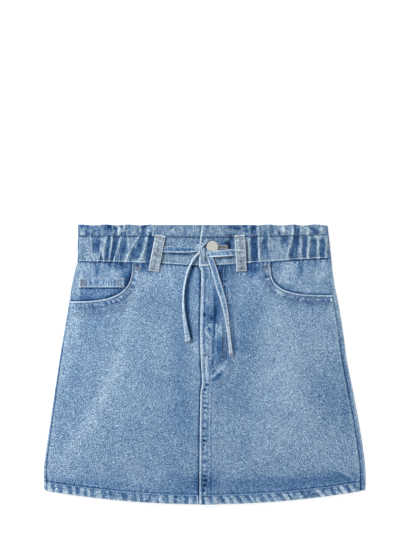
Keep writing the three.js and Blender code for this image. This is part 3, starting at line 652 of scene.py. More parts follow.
class Shader:
    """One material's nodes."""

    def __init__(self, name):
        self.material = bpy.data.materials.new(name)
        self.material.use_nodes = True
        self.tree = self.material.node_tree
        self.tree.nodes.clear()

    def node(self, kind, inputs=(), output=0, **settings):
        """One node: its settings first, then its sockets by place or by name, linked or set."""
        made = self.tree.nodes.new(kind)
        ramp = settings.pop("stops", None)
        for setting, value in settings.items():
            setattr(made, setting, value)
        if ramp:
            while len(made.color_ramp.elements) < len(ramp):
                made.color_ramp.elements.new(0.5)
            for element, (place, colour) in zip(made.color_ramp.elements, ramp):
                element.position = place
                element.color = colour
        named = inputs.items() if isinstance(inputs, dict) else enumerate(inputs)
        for key, value in named:
            if isinstance(value, Socket):
                self.tree.links.new(value.socket, made.inputs[key])
            elif value is not None:
                made.inputs[key].default_value = value
        return Socket(self, made.outputs[output]) if made.outputs else None

    def noise(self, vector, scale, detail=2.0, roughness=0.5, output="Fac"):
        """Noise about 0.5, so many of its cells to the metre."""
        sockets = {"Vector": vector, "Scale": scale, "Detail": detail, "Roughness": roughness}
        return self.node("ShaderNodeTexNoise", sockets, output=output)

    def mapped(self, vector, scale=(1, 1, 1), turn=(0, 0, 0)):
        """Places scaled and then turned."""
        return self.node("ShaderNodeMapping", {"Vector": vector, "Scale": scale, "Rotation": turn})

    def ramp(self, value, tones):
        """The colour at a value, straight between tones at their places."""
        return self.node("ShaderNodeValToRGB", {"Fac": value}, output="Color", stops=tones)

    def bump(self, height, strength, distance):
        """The normal of a surface raised by a height."""
        sockets = {"Strength": strength, "Distance": distance, "Height": height}
        return self.node("ShaderNodeBump", sockets, output="Normal")

    def vectors(self, operation, **sockets):
        """A Vector Math node on its sockets by place, or by name where they have one."""
        named = {{"a": 0, "b": 1, "c": 2}.get(name, name): value for name, value in sockets.items()}
        return self.node("ShaderNodeVectorMath", named, output="Vector", operation=operation)

    def finish(self, **surface):
        """The Principled surface, with its sockets by name."""
        sockets = {name.replace("_", " "): value for name, value in surface.items()}
        shaded = self.node("ShaderNodeBsdfPrincipled", sockets)
        self.node("ShaderNodeOutputMaterial", {"Surface": shaded})
        return self.material


DENIM_TONES = (
    (0.0, srgb(24, 48, 84)),
    (0.18, srgb(50, 90, 144)),
    (0.36, srgb(79, 120, 166)),
    (0.5, srgb(111, 143, 178)),
    (0.66, srgb(141, 170, 197)),
    (0.83, srgb(175, 200, 221)),
    (1.0, srgb(214, 231, 246)),
)
BAND_TONES = (
    (0.0, srgb(24, 48, 84)),
    (0.18, srgb(50, 88, 140)),
    (0.36, srgb(79, 117, 158)),
    (0.5, srgb(114, 142, 169)),
    (0.66, srgb(145, 170, 190)),
    (0.83, srgb(178, 201, 217)),
    (1.0, srgb(214, 231, 244)),
)
GREY_TONES = (
    (0.0, srgb(42, 56, 80)),
    (0.25, srgb(92, 108, 130)),
    (0.5, srgb(142, 158, 172)),
    (0.75, srgb(184, 203, 217)),
    (1.0, srgb(210, 226, 240)),
)
TINGE = 0.07  # how far the dye's red, green and blue each wander
GRAIN_TURN = (0.61, 0.37, 0.83)  # keeps the grain's cells out of line with the picture's pixels
PEPPER, FLECK = 1190, 2230  # cells of the two grains to the metre


def denim(name, tones=DENIM_TONES, shift=0.0, grain=1.0, blotch=1.0):
    """Washed denim: a tone worked out from the piece's bleaching, painted shade and highlight, and blotches
    through a ramp from indigo to bleached, brighter and darker by its salt and pepper grain, with a raised
    twill and a fine nap."""
    shader = Shader(name)
    place = shader.node("ShaderNodeTexCoord", output="Object")
    cloth = shader.node("ShaderNodeTexCoord", output="UV")
    # The piece's attribute holds its bleaching and its painted shade and highlight alike.
    wear = shader.node("ShaderNodeAttribute", output="Fac", attribute_name="wear")
    turned = shader.mapped(place, turn=GRAIN_TURN)
    pepper = shader.noise(turned, PEPPER, 0.5)
    fleck = shader.noise(turned, FLECK, 0.5)
    diagonal = shader.noise(shader.mapped(place, (300, 1000, 1), (0, 0, 0.78)), 1.0, 1.0)
    slub = shader.noise(shader.mapped(cloth, (1100, 170, 1)), 1.0, 2.0, 0.6)
    weft = shader.noise(shader.mapped(cloth, (190, 1300, 1)), 1.0, 1.0)
    mottle = shader.noise(place, 150, 3.0, 0.6)
    cloud = shader.noise(place, 34, 3.0, 0.55)
    slanted = shader.mapped(cloth, turn=(0, 0, 0.9))
    ribs = {"Vector": slanted, "Scale": 180.0, "Distortion": 1.5, "Detail": 1.0}
    twill = shader.node("ShaderNodeTexWave", ribs, output="Fac", wave_type="BANDS", bands_direction="X")
    speckle = (pepper - 0.5) * 1.9 + (fleck - 0.5) * 1.7 + (diagonal - 0.5) * 0.3 + (slub - 0.5) * 0.2
    worn = wear.most(0.0).least(1.0)
    speckle = (speckle + (weft - 0.5) * 0.16) * ((wear.least(0.0) * 0.25 - worn * 0.28 + 0.92) * grain)
    tone = (
        wear * 0.36
        + speckle * 0.74
        + (mottle - 0.5) * (0.16 * blotch)
        + (cloud - 0.5) * (0.12 * blotch)
        + (twill - 0.5) * 0.05
        + (0.5 + shift)
    )
    dyed = shader.ramp(tone, tones)
    colour = shader.vectors("SCALE", a=dyed, Scale=(speckle * 1.5 + 1.0).most(0.25))
    tinge = shader.noise(place, 45.0, output="Color")
    tint = shader.vectors("MULTIPLY_ADD", a=tinge, b=(TINGE,) * 3, c=(1 - TINGE / 2,) * 3)
    colour = shader.vectors("MULTIPLY", a=colour, b=tint)
    nap = (pepper - 0.5) * 0.5 + (twill - 0.5) * 0.35 + (slub - 0.5) * 0.4
    return shader.finish(
        Base_Color=colour,
        Roughness=0.9 - (fleck - 0.5) * 0.1,
        Normal=shader.bump(nap, 0.55, 0.0004),
        Sheen_Weight=0.04,
        Sheen_Roughness=0.5,
        Specular_IOR_Level=0.12,
    )


def thread(name, colour, other):
    """Twisted sewing thread: two near shades in fine slanting bands."""
    shader = Shader(name)
    place = shader.node("ShaderNodeTexCoord", output="Object")
    twist = shader.noise(place, 900.0)
    shade = shader.ramp(twist, ((0.35, other), (0.65, colour)))
    raised = shader.bump(twist, 0.4, 0.0002)
    return shader.finish(Base_Color=shade, Roughness=0.75, Normal=raised, Specular_IOR_Level=0.3)


def satin_metal(name):
    """Pale satin metal, lightly scuffed: its shade and its roughness follow fine scratches."""
    shader = Shader(name)
    place = shader.node("ShaderNodeTexCoord", output="Object")
    scratch = shader.noise(shader.mapped(place, (500, 3200, 500)), 1.0, 3.0)
    cloud = shader.noise(place, 160.0)
    tones = ((0.3, srgb(184, 184, 178)), (0.7, srgb(212, 212, 206)))
    shade = shader.ramp(scratch * 0.5 + cloud * 0.5, tones)
    raised = shader.bump(scratch, 0.15, 0.0001)
    return shader.finish(Base_Color=shade, Metallic=0.15, Roughness=0.6 + (cloud - 0.5) * 0.15, Normal=raised)


BODY_DENIM = denim("washed_denim", shift=-0.012)
BAND_DENIM = denim("gathered_denim", BAND_TONES, shift=-0.05, blotch=1.3)
FACING_DENIM = denim("shaded_denim", shift=-0.045, grain=1.05)
LOOP_DENIM = denim("grey_denim", GREY_TONES, shift=0.05, grain=0.9)
TIE_DENIM = denim("tie_denim", shift=0.04, grain=0.9)
TAN_THREAD = thread("grey_thread", srgb(200, 216, 230), srgb(114, 138, 166))
BROWN_THREAD = thread("brown_thread", srgb(192, 190, 196), srgb(102, 106, 126))
BLUE_THREAD = thread("pale_thread", srgb(222, 234, 242), srgb(178, 196, 208))
PURL_THREAD = thread("purl_thread", srgb(228, 216, 206), srgb(184, 172, 166))
BUTTON_METAL = satin_metal("satin_metal")


# Wear and fine relief of the panels
PATCHES = table(
    "x y wide tall tone",
    (-186, 64, 7, 28, 0.35),
    (-196, -20, 9, 60, 0.15),
    (-164, 58, 14, 30, -0.22),
    (-100, 84, 20, 22, -0.12),
    (-62, 92, 30, 24, -0.12),
    (6, 72, 5, 20, -0.55),
    (19, -15, 7, 7, -0.55),
    (2, -4, 3, 14, 0.5),
    (-10, 78, 2.4, 40, 0.25),
    (30, 62, 5, 10, 0.25),
    (33, 6, 7, 9, -0.3),
    (-190, -30, 12, 40, -0.2),
    (-35, 60, 12, 60, -0.22),
    (-32, -30, 13, 60, -0.24),
    (-30, -78, 24, 26, -0.16),
    (-70, -112, 26, 16, -0.1),
    (-84, 30, 8, 14, -0.08),
    (-85, 124, 9, 10, 0.35),
    (-88, 72, 12, 30, 0.12),
    (60, 30, 13, 54, -0.26),
    (44, -34, 16, 26, -0.2),
    (72, 116, 20, 12, 0.1),
    (104, 66, 17, 30, 0.3),
    (120, 10, 22, 30, 0.12),
    (112, -52, 22, 40, 0.2),
    (86, -112, 24, 20, 0.06),
    (168, -44, 20, 36, -0.24),
    (162, -100, 30, 18, -0.1),
    (204, -40, 9, 70, -0.26),
    (150, 96, 16, 12, -0.2),
    (-10, 20, 7, 15, 0.5),
    (35, 50, 7, 14, 0.2),
    (20, 96, 3, 14, -0.4),
    (12, 84, 3, 10, 0.3),
    (22, 52, 2.4, 9, 0.4),
    (14, 44, 3, 6, -0.5),
    (16, 74, 5, 16, -0.75),
    (20, 26, 7, 12, -0.6),
    (32, 8, 8, 10, -0.3),
    (28, 134, 8, 10, -0.75),
    (64, 136, 13, 8, -0.8),
    (40, 112, 10, 16, -0.2),
    (-8, 112, 8, 26, -0.25),
    (-4, -106, 12, 9, -0.3),
    (0, -168, 22, 12, -0.75),
    (-34, -164, 22, 12, -0.3),
    (70, -168, 40, 10, -0.36),
    (136, -166, 40, 10, -0.44),
    (196, -160, 34, 9, -0.32),
    (-130, -166, 70, 9, -0.08),
    (22, -37, 14, 46, -0.2),
    (-50, -142, 26, 18, -0.14),
    (46, 0, 12, 40, -0.08),
    (-35, -60, 22, 100, -0.1),
    (136, -20, 30, 80, 0.13),
    (164, 30, 26, 34, 0.12),
    (-178, 64, 14, 22, 0.25),
    (-84, 139, 16, 8, -0.8),
    (50, 139, 12, 9, -0.5),
    (68, 139, 8, 6, -0.3),
    (22, 117, 12, 14, -0.18),
    (107, -100, 50, 50, 0.09),
    (-120, -112, 40, 14, 0.12),
    (-205, -102, 14, 24, -0.14),
    (-177, -60, 20, 28, -0.1),
)
# Painted highlight along the fold that runs down from the left pocket: by height, its place across, half width
# and how much lighter it is.
FOLD_HIGHLIGHT = table(
    "y x wide worn",
    (134, -92, 4, 0.3),
    (118, -97, 6, 0.45),
    (50, -112, 9, 0.36),
    (0, -126, 10, 0.36),
    (-60, -151, 11, 0.36),
    (-110, -180, 12, 0.3),
    (-150, -206, 12, 0.16),
    (-190, -226, 12, 0.0),
)
# Short creases of the panels: relief, and tone that is lighter along raised ones and darker along sunk ones,
# partly bleaching and partly painted highlight and shade
CREASES = table(
    "x y to_x to_y wide high worn",
    (34, 8, 24, -6, 2.2, 0.4, 0.45),
    (27, -4, 9, -19, 1.7, 0.5, 0.75),
    (26, -12, 10, -24, 1.8, -0.4, -0.7),
    (16, -8, 8, -14, 1.8, -0.3, -0.6),
    (38, 12, 44, 2, 2.2, 0.3, 0.35),
    (11, 58, 0, 50, 1.1, 0.6, 1.4),
    (0, 50, 9, 37, 1.1, 0.6, 1.3),
    (4, 56, 9, 46, 1.6, -0.4, -0.9),
    (-1, 74, 1, 66, 2.4, -0.4, -1.0),
    (9, 70, 11, 62, 2.0, -0.4, -1.0),
    (-1, 62, 4, 72, 1.2, 0.4, 0.8),
    (2, 96, 6, 84, 1.4, 0.4, 0.7),
    (16.4, 60, 16.4, 36, 1.1, 0.4, 1.2),
    (1, 34, 5, 22, 1.3, 0.4, 0.8),
    (21, 56, 24, 38, 3.0, 0.3, 0.5),
    (14.6, 112, 15, 40, 2.0, -0.6, -0.9),
    (12, 36, 12, -2, 1.8, -0.6, -0.7),
    (9, 34, 10, 6, 1.2, 0.3, 0.5),
    (60, 138, 52, 118, 2.0, 0.4, 0.5),
    (76, 138, 66, 122, 2.0, -0.3, -0.5),
    (-94, 138, -98, 116, 2.4, 0.4, 0.3),
    (-52, 136, -46, 108, 2.4, 0.4, 0.3),
    (140, 76, 132, 58, 2.2, 0.4, 0.4),
    (150, 78, 148, 56, 2.2, 0.3, 0.3),
    (196, -150, 216, -166, 2.0, 0.5, 0.5),
    (186, -152, 208, -168, 2.0, -0.4, -0.4),
)


def line_marks(x, y, rows):
    """Relief and tone of short creases, the tone partly bleaching and partly painted highlight and shade: each
    a bell across its line, fading at its ends.
    """
    relief = np.zeros(x.shape)
    wear = np.zeros(x.shape)
    for *line, wide, high, worn in zip(*rows.values()):
        along, aside = line_places(x, y, *line)
        mark = ease(-0.15, 0.25, along) * ease(1.15, 0.75, along) * hump(aside, wide)
        relief += high * mark
        wear += worn * mark
    return relief, wear


def patch_tone(x, y):
    """The panels' lighter and darker places, and the painted highlight along the fold that runs down
    from the left pocket: a bell about a curved line."""
    streak_x, wide, worn = (through(FOLD_HIGHLIGHT, "y", column)(y) for column in ("x", "wide", "worn"))
    return patches(x, y, PATCHES) + worn * hump(x - streak_x, wide)


ROPE_PITCH = 12.4


def puckers(along, across, pitch, seed):
    """Uneven ripples along a seam, -1 to 1: a wave whose phase drifts, broken up by noise."""
    drift = 1.1 * cloth_noise(along, across * 0 + seed, pitch * 2.6, seed)
    wave = np.sin(2 * np.pi * (along / pitch + drift))
    return wave * (0.65 + 0.35 * cloth_noise(along, across, pitch * 1.3, seed + 1))


def ropes_at(along, seed):
    """Ropes of a twisted hem, 0 to 1: narrow crests with wide hollows between them, unevenly spaced and
    unevenly strong."""
    drift = 0.85 * cloth_noise(along, along * 0 + seed, 27, seed)
    drift += 0.3 * cloth_noise(along, along * 0, 11, seed + 1)
    crest = 0.5 + 0.5 * np.cos(2 * np.pi * (along / ROPE_PITCH + drift))
    strength = 0.75 + 0.45 * cloth_noise(along, along * 0 + 3, 15, seed + 2)
    return np.clip(strength, 0.15, 1.15) * ease(0.42, 0.74, crest)


def hem_marks(x, y):
    """The turned hem: slanting ropes below its stitching, a dark run and bleached flecks above it."""
    above = y - hem_y(x)
    row = above - HEM_DEPTH
    inside = ease(HEM_DEPTH - 0.6, HEM_DEPTH - 2.4, above)
    lean = lerp(0.15, 0.7, ease(-20, 40, x))
    shifted = x + lean * above
    ropes = ropes_at(shifted, 11) + 0.35 * ropes_at(shifted * 1.7 + 40, 15)
    low = ease(6, 0, above)
    relief = inside * (0.75 * ropes - 0.2) - 0.4 * hump(row, 1.1)
    wear = inside * (1.1 * ropes - 0.62 + 0.5 * cloth_noise(x, y, 3.4, 17)) + (0.3 + 0.3 * ropes) * low
    wear += 0.35 * hump(above, 1.2) - 1.3 * hump(row - 1.1, 0.9) - 0.4 * hump(row + 1.5, 0.9)
    flecks = np.maximum(0, puckers(shifted, above, 8.4, 23) - 0.2)
    just_above = ease(HEM_DEPTH + 0.8, HEM_DEPTH + 2.2, above)
    wear += just_above * (0.75 * flecks * hump(row - 2.4, 3.4) - 0.3 * hump(row - 4, 9))
    relief += just_above * 0.22 * flecks * hump(row - 2, 4)
    return relief, wear


def mouth_marks(side, x, y):
    """A pocket's bound mouth: a bleached rolled edge, two stitched grooves and puckers between them."""
    away = mouth_distance(side, x, y)
    mouth = MOUTHS[side]
    corner = band_seam(mouth["top"])
    below = ease(corner + 1, corner - 3, y)
    along = np.arctan2(corner - y, side * (seam_x(side, corner) - x)) * 62
    ripple = puckers(along, away, 4.8, 31 + side)
    between = hump(away - 6.6, 3.6)
    relief = 0.45 * hump(away - 0.9, 1.4) - 0.22 * hump(away - 3.6, 0.8) - 0.22 * hump(away - 9.8, 0.8)
    relief += 0.24 * ripple * between
    mottled = ripple + 0.6 * cloth_noise(x, y, 3.6, 33 + side)
    wear = 1.2 * hump(away - 0.5, 1.1) + 0.95 * mottled * between - 0.22 * hump(away - 7, 4.6)
    wear += -0.7 * hump(away - 3.0, 0.9) - 0.8 * hump(away - 9.8, 0.9)
    wear += -0.3 * hump(away - 14, 4) * (0.5 + 0.5 * cloth_noise(x, y, 12, 5))
    return relief * below, wear * below


FLY_ROW = 31.2  # the outer of the fly's two stitched rows


def fly_line(y, inset_by=0.0):
    """The fly's curved stitching: straight down, then a quarter superellipse in to the centre at its foot."""
    start = 24.0
    t = np.clip((start - y) / (start - FLY_FOOT - inset_by), 0, 1)
    edge = lap_edge(FLY_FOOT)
    return edge + (FLY_ROW - inset_by - edge) * (1 - t**2.4) ** (1 / 1.7)


def lap_marks(x, y):
    """The lapped edge at the centre front: a pale ridge, its stitched rows and the puckers between them."""
    away = x - lap_edge(y)
    lower = ease(12, 2, y)
    ripple = puckers(y, away, 7.2, 41)
    between = hump(away - 6.8, 3.0)
    relief = 0.4 * hump(away - 1.5, 1.9) - 0.25 * hump(away - 3.9, 0.8)
    relief += lower * (0.22 * ripple * between - 0.2 * hump(away - 11.9, 0.8))
    ridge = ease(4.2, 3.0, away) * ease(-0.6, 0.4, away)
    wear = lerp(0.85 * ridge, 1.3 * hump(away - 0.7, 1.05), lower)
    wear -= lerp(0.65 * hump(away - 5.8, 1.4), 0.8 * hump(away - 4.2, 1.0), lower)
    broken = ripple + 0.7 * cloth_noise(away * 1.4, y, 3.6, 43)
    below_tack = ease(14, 10, y) * ease(-30, -20, y)
    wear += (0.2 + 0.8 * lower) * (1.25 - 0.8 * below_tack) * broken * between
    wear += (0.55 * below_tack - 0.16 * lower) * between - 0.7 * hump(y - 12.2, 1.1) * hump(away - 7, 4.4)
    wear -= 0.5 * below_tack * (hump(away - 4.2, 0.8) + hump(away - 11.9, 0.9))
    wear -= lower * (0.8 * hump(away - 11.9, 0.8) + 0.5 * hump(away - 15.6, 1.2))
    wear += lower * 0.45 * hump(away - 13.6, 0.9)
    plateau = ease(15.5, 11.5, x) * ease(0, 3, away) * (1 - lower)
    fly = ease(FLY_FOOT - 6, FLY_FOOT + 10, y) * ease(band_seam(0) + 1, band_seam(0) - 6, y)
    from_row = x - fly_line(y, 2)
    rows = hump(from_row - 2, 1.2) + hump(from_row + 2, 1.2)
    seen = ease(70, 40, y)
    wear += fly * (0.5 * puckers(y, x, 6.4, 47) * hump(from_row, 3.2) - 0.3 * hump(from_row + 6.5, 4.5))
    wear -= fly * (0.5 + 1.1 * seen) * rows - fly * seen * 0.5 * hump(from_row, 1.1)
    relief += plateau * 0.5 + fly * 0.16 * puckers(y, x, 6.4, 47) * hump(from_row, 3)
    return relief, wear


def seam_dark(y):
    """How dark the side seams' groove is: full below the hips, faint at the pockets."""
    return lerp(0.8, 0.1, ease(0, 50, y))


def painted_tie_shadow(x, y):
    """Painted shadow on the cloth beside each free tie, on its right, where the hanging tie casts it."""
    shade = np.zeros(x.shape)
    for route, aside, wide, shadow_depth in ((TIE_LEFT_END, 5.4, 3.2, 1.0), (TIE_RIGHT_END, 6.6, 2.6, 0.6)):
        rows = dict(zip("xy", np.array(route).T[:2]))
        low = rows["y"].min()
        shade += shadow_depth * hump(x - through(rows, "y", "x")(y) - aside, wide) * ease(low - 2, low + 6, y)
    return shade


def panel_marks(side, x, y):
    """All fine relief and tone of a front panel at its places: its bleaching, and the painted shadows beside
    the lapped edge and the free ties.
    """
    hem_relief, hem_wear = hem_marks(x, y)
    mouth_relief, mouth_wear = mouth_marks(side, x, y)
    crease_relief, crease_wear = line_marks(x, y, CREASES)
    below = band_seam(x) - y
    seam_ripple = puckers(x, y, 6.8, 61) * hump(below, 9)
    gathered = ease(45, 75, np.abs(x))
    side_away = side * (seam_x(side, y) - x)
    relief = hem_relief + mouth_relief + crease_relief + 0.25 * seam_ripple * (0.4 + 0.6 * gathered)
    relief += 0.16 * cloth_noise(x, y, 26, 71) + 0.07 * cloth_noise(x, y, 9, 73)
    wear = hem_wear + mouth_wear + crease_wear + patch_tone(x, y)
    wear += 0.5 * seam_ripple - 0.55 * hump(below, 1.6)
    wear += 0.3 * hump(side_away - 3, 2) - seam_dark(y) * hump(side_away, 0.9)
    wear += 0.11 * cloth_noise(x, y, 46, 81) + 0.07 * cloth_noise(x, y, 17, 83)
    # Both fronts take the painted shadow of the free ties.
    if side > 0:
        lap_relief, lap_wear = lap_marks(x, y)
        return relief + lap_relief, wear + lap_wear - painted_tie_shadow(x, y)
    # Painted shadow of the lapped right front: a dark line along its edge on the left front.
    shade = x - lap_edge(y)
    return relief, wear - 1.5 * hump(shade + 0.5, 1.3) - 0.3 * hump(shade, 5) - painted_tie_shadow(x, y)


def front_top(side, x, y):
    """Face of a front panel: its underside, its thickness and its fine relief."""
    x = np.asarray(x, float)
    y = np.asarray(y, float)
    return front_low(side, x, y) + panel_thickness(x, y) + panel_marks(side, x, y)[0]


def front_panel(side, name, node):
    """Front panel: ruled from the band seam and the pocket's mouth down to the hem, on the frame's panel."""
    mouth = MOUTHS[side]
    corner = band_seam(mouth["top"])
    share = 0.46
    hem_from = 0.94
    inner_x = lap_edge if side > 0 else underlap_x
    outer = seam_x(side, corner - mouth["depth"])
    hem_edge = seam_x(side, hem_y(side * HALF_HEM)) - side * GAP / 2
    start = inner_x(band_seam(0.0))
    u = np.concatenate([stops(115, 1.5, both=False) * share, lerp(share, 1, stops(120, 1.45))[1:]])
    v = np.concatenate([stops(300, 1.7, both=False) * hem_from, lerp(hem_from, 1, stops(17, 1.0))[1:]])
    U, V = np.meshgrid(u, v)
    flat = np.clip(U / share, 0, 1)
    angle = np.clip((U - share) / (1 - share), 0, 1) * np.pi / 2
    curve_x = outer - (outer - mouth["top"]) * np.cos(angle) ** (2 / mouth["power"])
    curve_y = corner + TUCK - (mouth["depth"] + TUCK) * np.sin(angle) ** (2 / mouth["power"])
    on_band = U <= share
    top_x = np.where(on_band, lerp(start, mouth["top"], flat), curve_x)
    top_y = np.where(on_band, band_seam(lerp(start, mouth["top"], flat)) + TUCK, curve_y)
    hem_x = lerp(inner_x(HEM_LOWEST), hem_edge, U)
    fall = np.clip(V / hem_from, 0, 1)
    foot = np.clip((V - hem_from) / (1 - hem_from), 0, 1)
    y = lerp(top_y, hem_y(hem_x) + HEM_DEPTH, fall) - HEM_DEPTH * foot
    inner = inner_x(y) - lerp(start, inner_x(HEM_LOWEST), fall)
    outward = seam_x(side, y) - side * GAP / 2 - lerp(outer, hem_edge, fall)
    x = lerp(top_x, hem_x, fall) + inner * (1 - U) ** 3 + outward * U**3
    relief, wear = panel_marks(side, x, y)
    full = panel_thickness(x, y)
    edges = [mouth_distance(side, x, y), y - hem_y(x), side * (seam_x(side, y) - x), band_seam(x) - y]
    if side > 0:
        edges.append(x - lap_edge(y))
    thickness = rolled(full, *edges)
    middle = np.stack([x, y, front_low(side, x, y) + full / 2 + relief], 2)
    return cloth_piece(name, middle, thickness, wear, BODY_DENIM, "denim_body", node)


def back_panel():
    """Back panel: flat under the skirt, its sides turned up round the fold to the side seams."""
    ends = (0.03, 0.09)
    edge = np.concatenate([np.linspace(0, ends[0], 9), np.linspace(ends[0], ends[1], 13)[1:]])
    u = np.concatenate([edge, np.linspace(ends[1], 1 - ends[1], 150)[1:-1], 1 - edge[::-1]])
    v = stops(345, 2.2)
    U, V = np.meshgrid(u, v)
    side = np.where(U < 0.5, -1, 1)
    out = np.where(U < 0.5, U, 1 - U)
    flat = np.clip((out - ends[1]) / (0.5 - ends[1]), 0, 1)
    guess = sided(side, outline_x, lerp(band_seam(side * 182), hem_y(side * HALF_HEM), V))
    column = np.where(out < ends[1], guess, lerp(guess, 0, flat))
    y = lerp(band_seam(column) + TUCK, hem_y(column), V)
    thickness = panel_thickness(column, y)
    bottom = thickness / 2
    top = sided(side, side_low, y) + thickness / 2
    radius = (top - bottom) / 2
    centre = sided(side, outline_x, y) - side * (thickness / 2 + radius)
    lap = np.clip(out / ends[0], 0, 1)
    angle = lerp(np.pi / 2, -np.pi / 2, np.clip((out - ends[0]) / (ends[1] - ends[0]), 0, 1))
    lapped = lerp(sided(side, seam_x, y) + side * GAP / 2, centre, lap)
    x = np.where(out < ends[0], lapped, lerp(centre, 0, flat))
    bend = (out >= ends[0]) & (out < ends[1])
    x = np.where(bend, centre + side * radius * np.cos(angle), x)
    z = np.where(out < ends[0], top, np.where(bend, bottom + radius + radius * np.sin(angle), bottom))
    under = ease(0, 0.1, flat)
    dents = np.maximum(0, cloth_noise(x * 1.6, y, 60, 91)) ** 2 * 1.3 + 0.12 * (1 + cloth_noise(x, y, 14, 93))
    above = y - hem_y(x)
    off_hem = ease(0, 12, above - HEM_DEPTH)
    ropes = puckers(x + 0.5 * above, above, 8.6, 97)
    inside = ease(HEM_DEPTH + 0.4, HEM_DEPTH - 1.2, above)
    z = z + under * (np.minimum(0.9, dents) * off_hem + inside * 0.16 * (1 - ropes))
    wear = 0.26 * cloth_noise(x, y, 46, 98) + 0.15 * cloth_noise(x, y, 17, 99) + 0.7 * hump(above, 1.8)
    wear += inside * 0.8 * ropes - 0.35 * hump(above - HEM_DEPTH - 4, 9)
    from_seam = np.abs(x - sided(side, seam_x, y))
    at_fold = np.abs(x - sided(side, outline_x, y))
    groove = 1.6 * seam_dark(y) * hump(from_seam, 1.1) + 0.4 * hump(from_seam - 3.4, 0.8)
    wear += np.where(out < ends[1], hump(at_fold, 2.2) - groove, 0)
    thickness = rolled(thickness, above, band_seam(x) - y)
    middle = np.stack([x, y, z], 2)
    flat = run_map(middle, y)
    return cloth_piece("skirt_back", middle, thickness, wear, BODY_DENIM, "denim_body", "back_panel", flat)


FACING_PATCHES = {
    -1: table(
        "x y wide tall tone",
        (-165, 136, 9, 10, 0.2),
        (-153, 134, 3, 12, -1.0),
        (-136, 131, 9, 9, 0.25),
        (-136, 142, 2.4, 5, -0.8),
        (-118, 140, 12, 6, -1.0),
        (-112, 122, 7, 10, -1.1),
        (-128, 116, 12, 4, -0.6),
        (-150, 84, 30, 12, -0.5),
        (-178, 110, 6, 26, 0.3),
    ),
    1: table(
        "x y wide tall tone",
        (120, 128, 14, 10, 0.5),
        (150, 124, 12, 12, 0.2),
        (106, 136, 5, 10, -0.4),
        (137, 136, 3, 9, -0.5),
        (164, 120, 6, 16, 0.5),
        (150, 104, 20, 5, 0.1),
        (112, 112, 8, 6, -0.3),
    ),
}


def pocket_facing(side, name, node):
    """Pocket facing: between the band seam, the side seam and a superellipse under the front."""
    mouth = MOUTHS[side]
    corner = band_seam(mouth["top"])
    outer = seam_x(side, corner - mouth["depth"])
    width = abs(outer - mouth["top"]) + FACING_LAP
    inner = outer - side * (width - 1.5)
    U, V = np.meshgrid(stops(100, 1.3), stops(62, 1.2))
    straight = lerp(outer, inner, U)
    ratio = np.abs(outer - straight) / width
    foot = corner - (mouth["depth"] + FACING_LAP) * (1 - ratio ** mouth["power"]) ** (1 / mouth["power"])
    head_x = straight + (seam_x(side, corner) - outer) * (1 - U) ** 2
    y = lerp(band_seam(head_x) + TUCK, foot, V)
    x = straight + (seam_x(side, y) - side * GAP / 2 - outer) * (1 - U) ** 2
    below = band_seam(x) - y
    ripple = puckers(x, y, 7.5, 101 + side) * hump(below, 10)
    relief = 0.3 * ripple + 0.12 * cloth_noise(x, y, 18, 103)
    wear = 0.4 * ripple - 0.7 * hump(below, 1.6) + 0.3 * cloth_noise(x, y, 12, 105 + side)
    # The facing's darker and lighter patches, and painted shadow under the front's mouth edge along it.
    wear += patches(x, y, FACING_PATCHES[side]) - 1.1 * hump(mouth_distance(side, x, y), 2.8)
    middle = np.stack([x, y, facing_low(x, y) + FACING / 2 + relief], 2)
    thickness = rolled(FACING, side * (seam_x(side, y) - x))
    return cloth_piece(name, middle, thickness, wear, FACING_DENIM, "denim_facing", node)


COIN_PROUD = 0.02  # the sewing's height over the coin pocket's face


def coin_surface(x, y):
    """Level of the sewing on the coin pocket, a hair over its face."""
    hem_band = hump(np.asarray(COIN_POCKET["top"] - 7.0 - y), 6.0)
    return facing_low(x, y) + FACING + GAP + COIN + 0.3 * hem_band + COIN_PROUD


def coin_pocket():
    """Coin pocket: a small patch with a stitched hem at its mouth, its foot tucked under the front."""
    U, V = np.meshgrid(stops(65, 1.1), stops(45, 1.0))
    y = lerp(COIN_POCKET["top"], COIN_POCKET["bottom"], V)
    left = np.maximum(COIN_POCKET["left"], seam_x(-1, y) + 1.2)
    right = COIN_POCKET["right"] - 5.5 * V**3
    x = lerp(left, right, U)
    down = COIN_POCKET["top"] - y
    in_band = ease(14.6, 13.2, down)
    ripple = puckers(x, down, 6.4, 111)
    wear = in_band * (0.9 * ripple * hump(down - 6.8, 3.4) - 0.05) - (1 - in_band) * 0.42
    wear += 0.8 * hump(down, 1.2) + 0.8 * hump(down - 12.2, 1.0) - 1.1 * hump(down - 14.8, 1.2)
    wear += 0.8 * hump(x - left - 0.8, 1.2) + 0.6 * hump(right - x - 0.8, 1.2)
    # Painted shadow under the front's mouth edge where it crosses the coin pocket.
    wear += 0.25 * cloth_noise(x, y, 14, 113) - 0.9 * hump(mouth_distance(-1, x, y), 3)
    relief = 0.18 * ripple * in_band - 0.22 * hump(down - 13.6, 0.9)
    middle = np.stack([x, y, facing_low(x, y) + FACING + GAP + COIN / 2 + relief + 0.2 * in_band], 2)
    thickness = rolled(COIN, down, x - left, right - x)
    finish = FACING_DENIM
    return cloth_piece("skirt_coin_pocket", middle, thickness, wear, finish, "denim_facing", "coin_pocket")


# The waistband
BAND_LOW = BAND + GAP


def strip_mark(aside, half, soft=1.1):
    """A band with soft edges: 1 within its half width and 0 outside."""
    return ease(half + soft, half - soft, np.abs(aside))


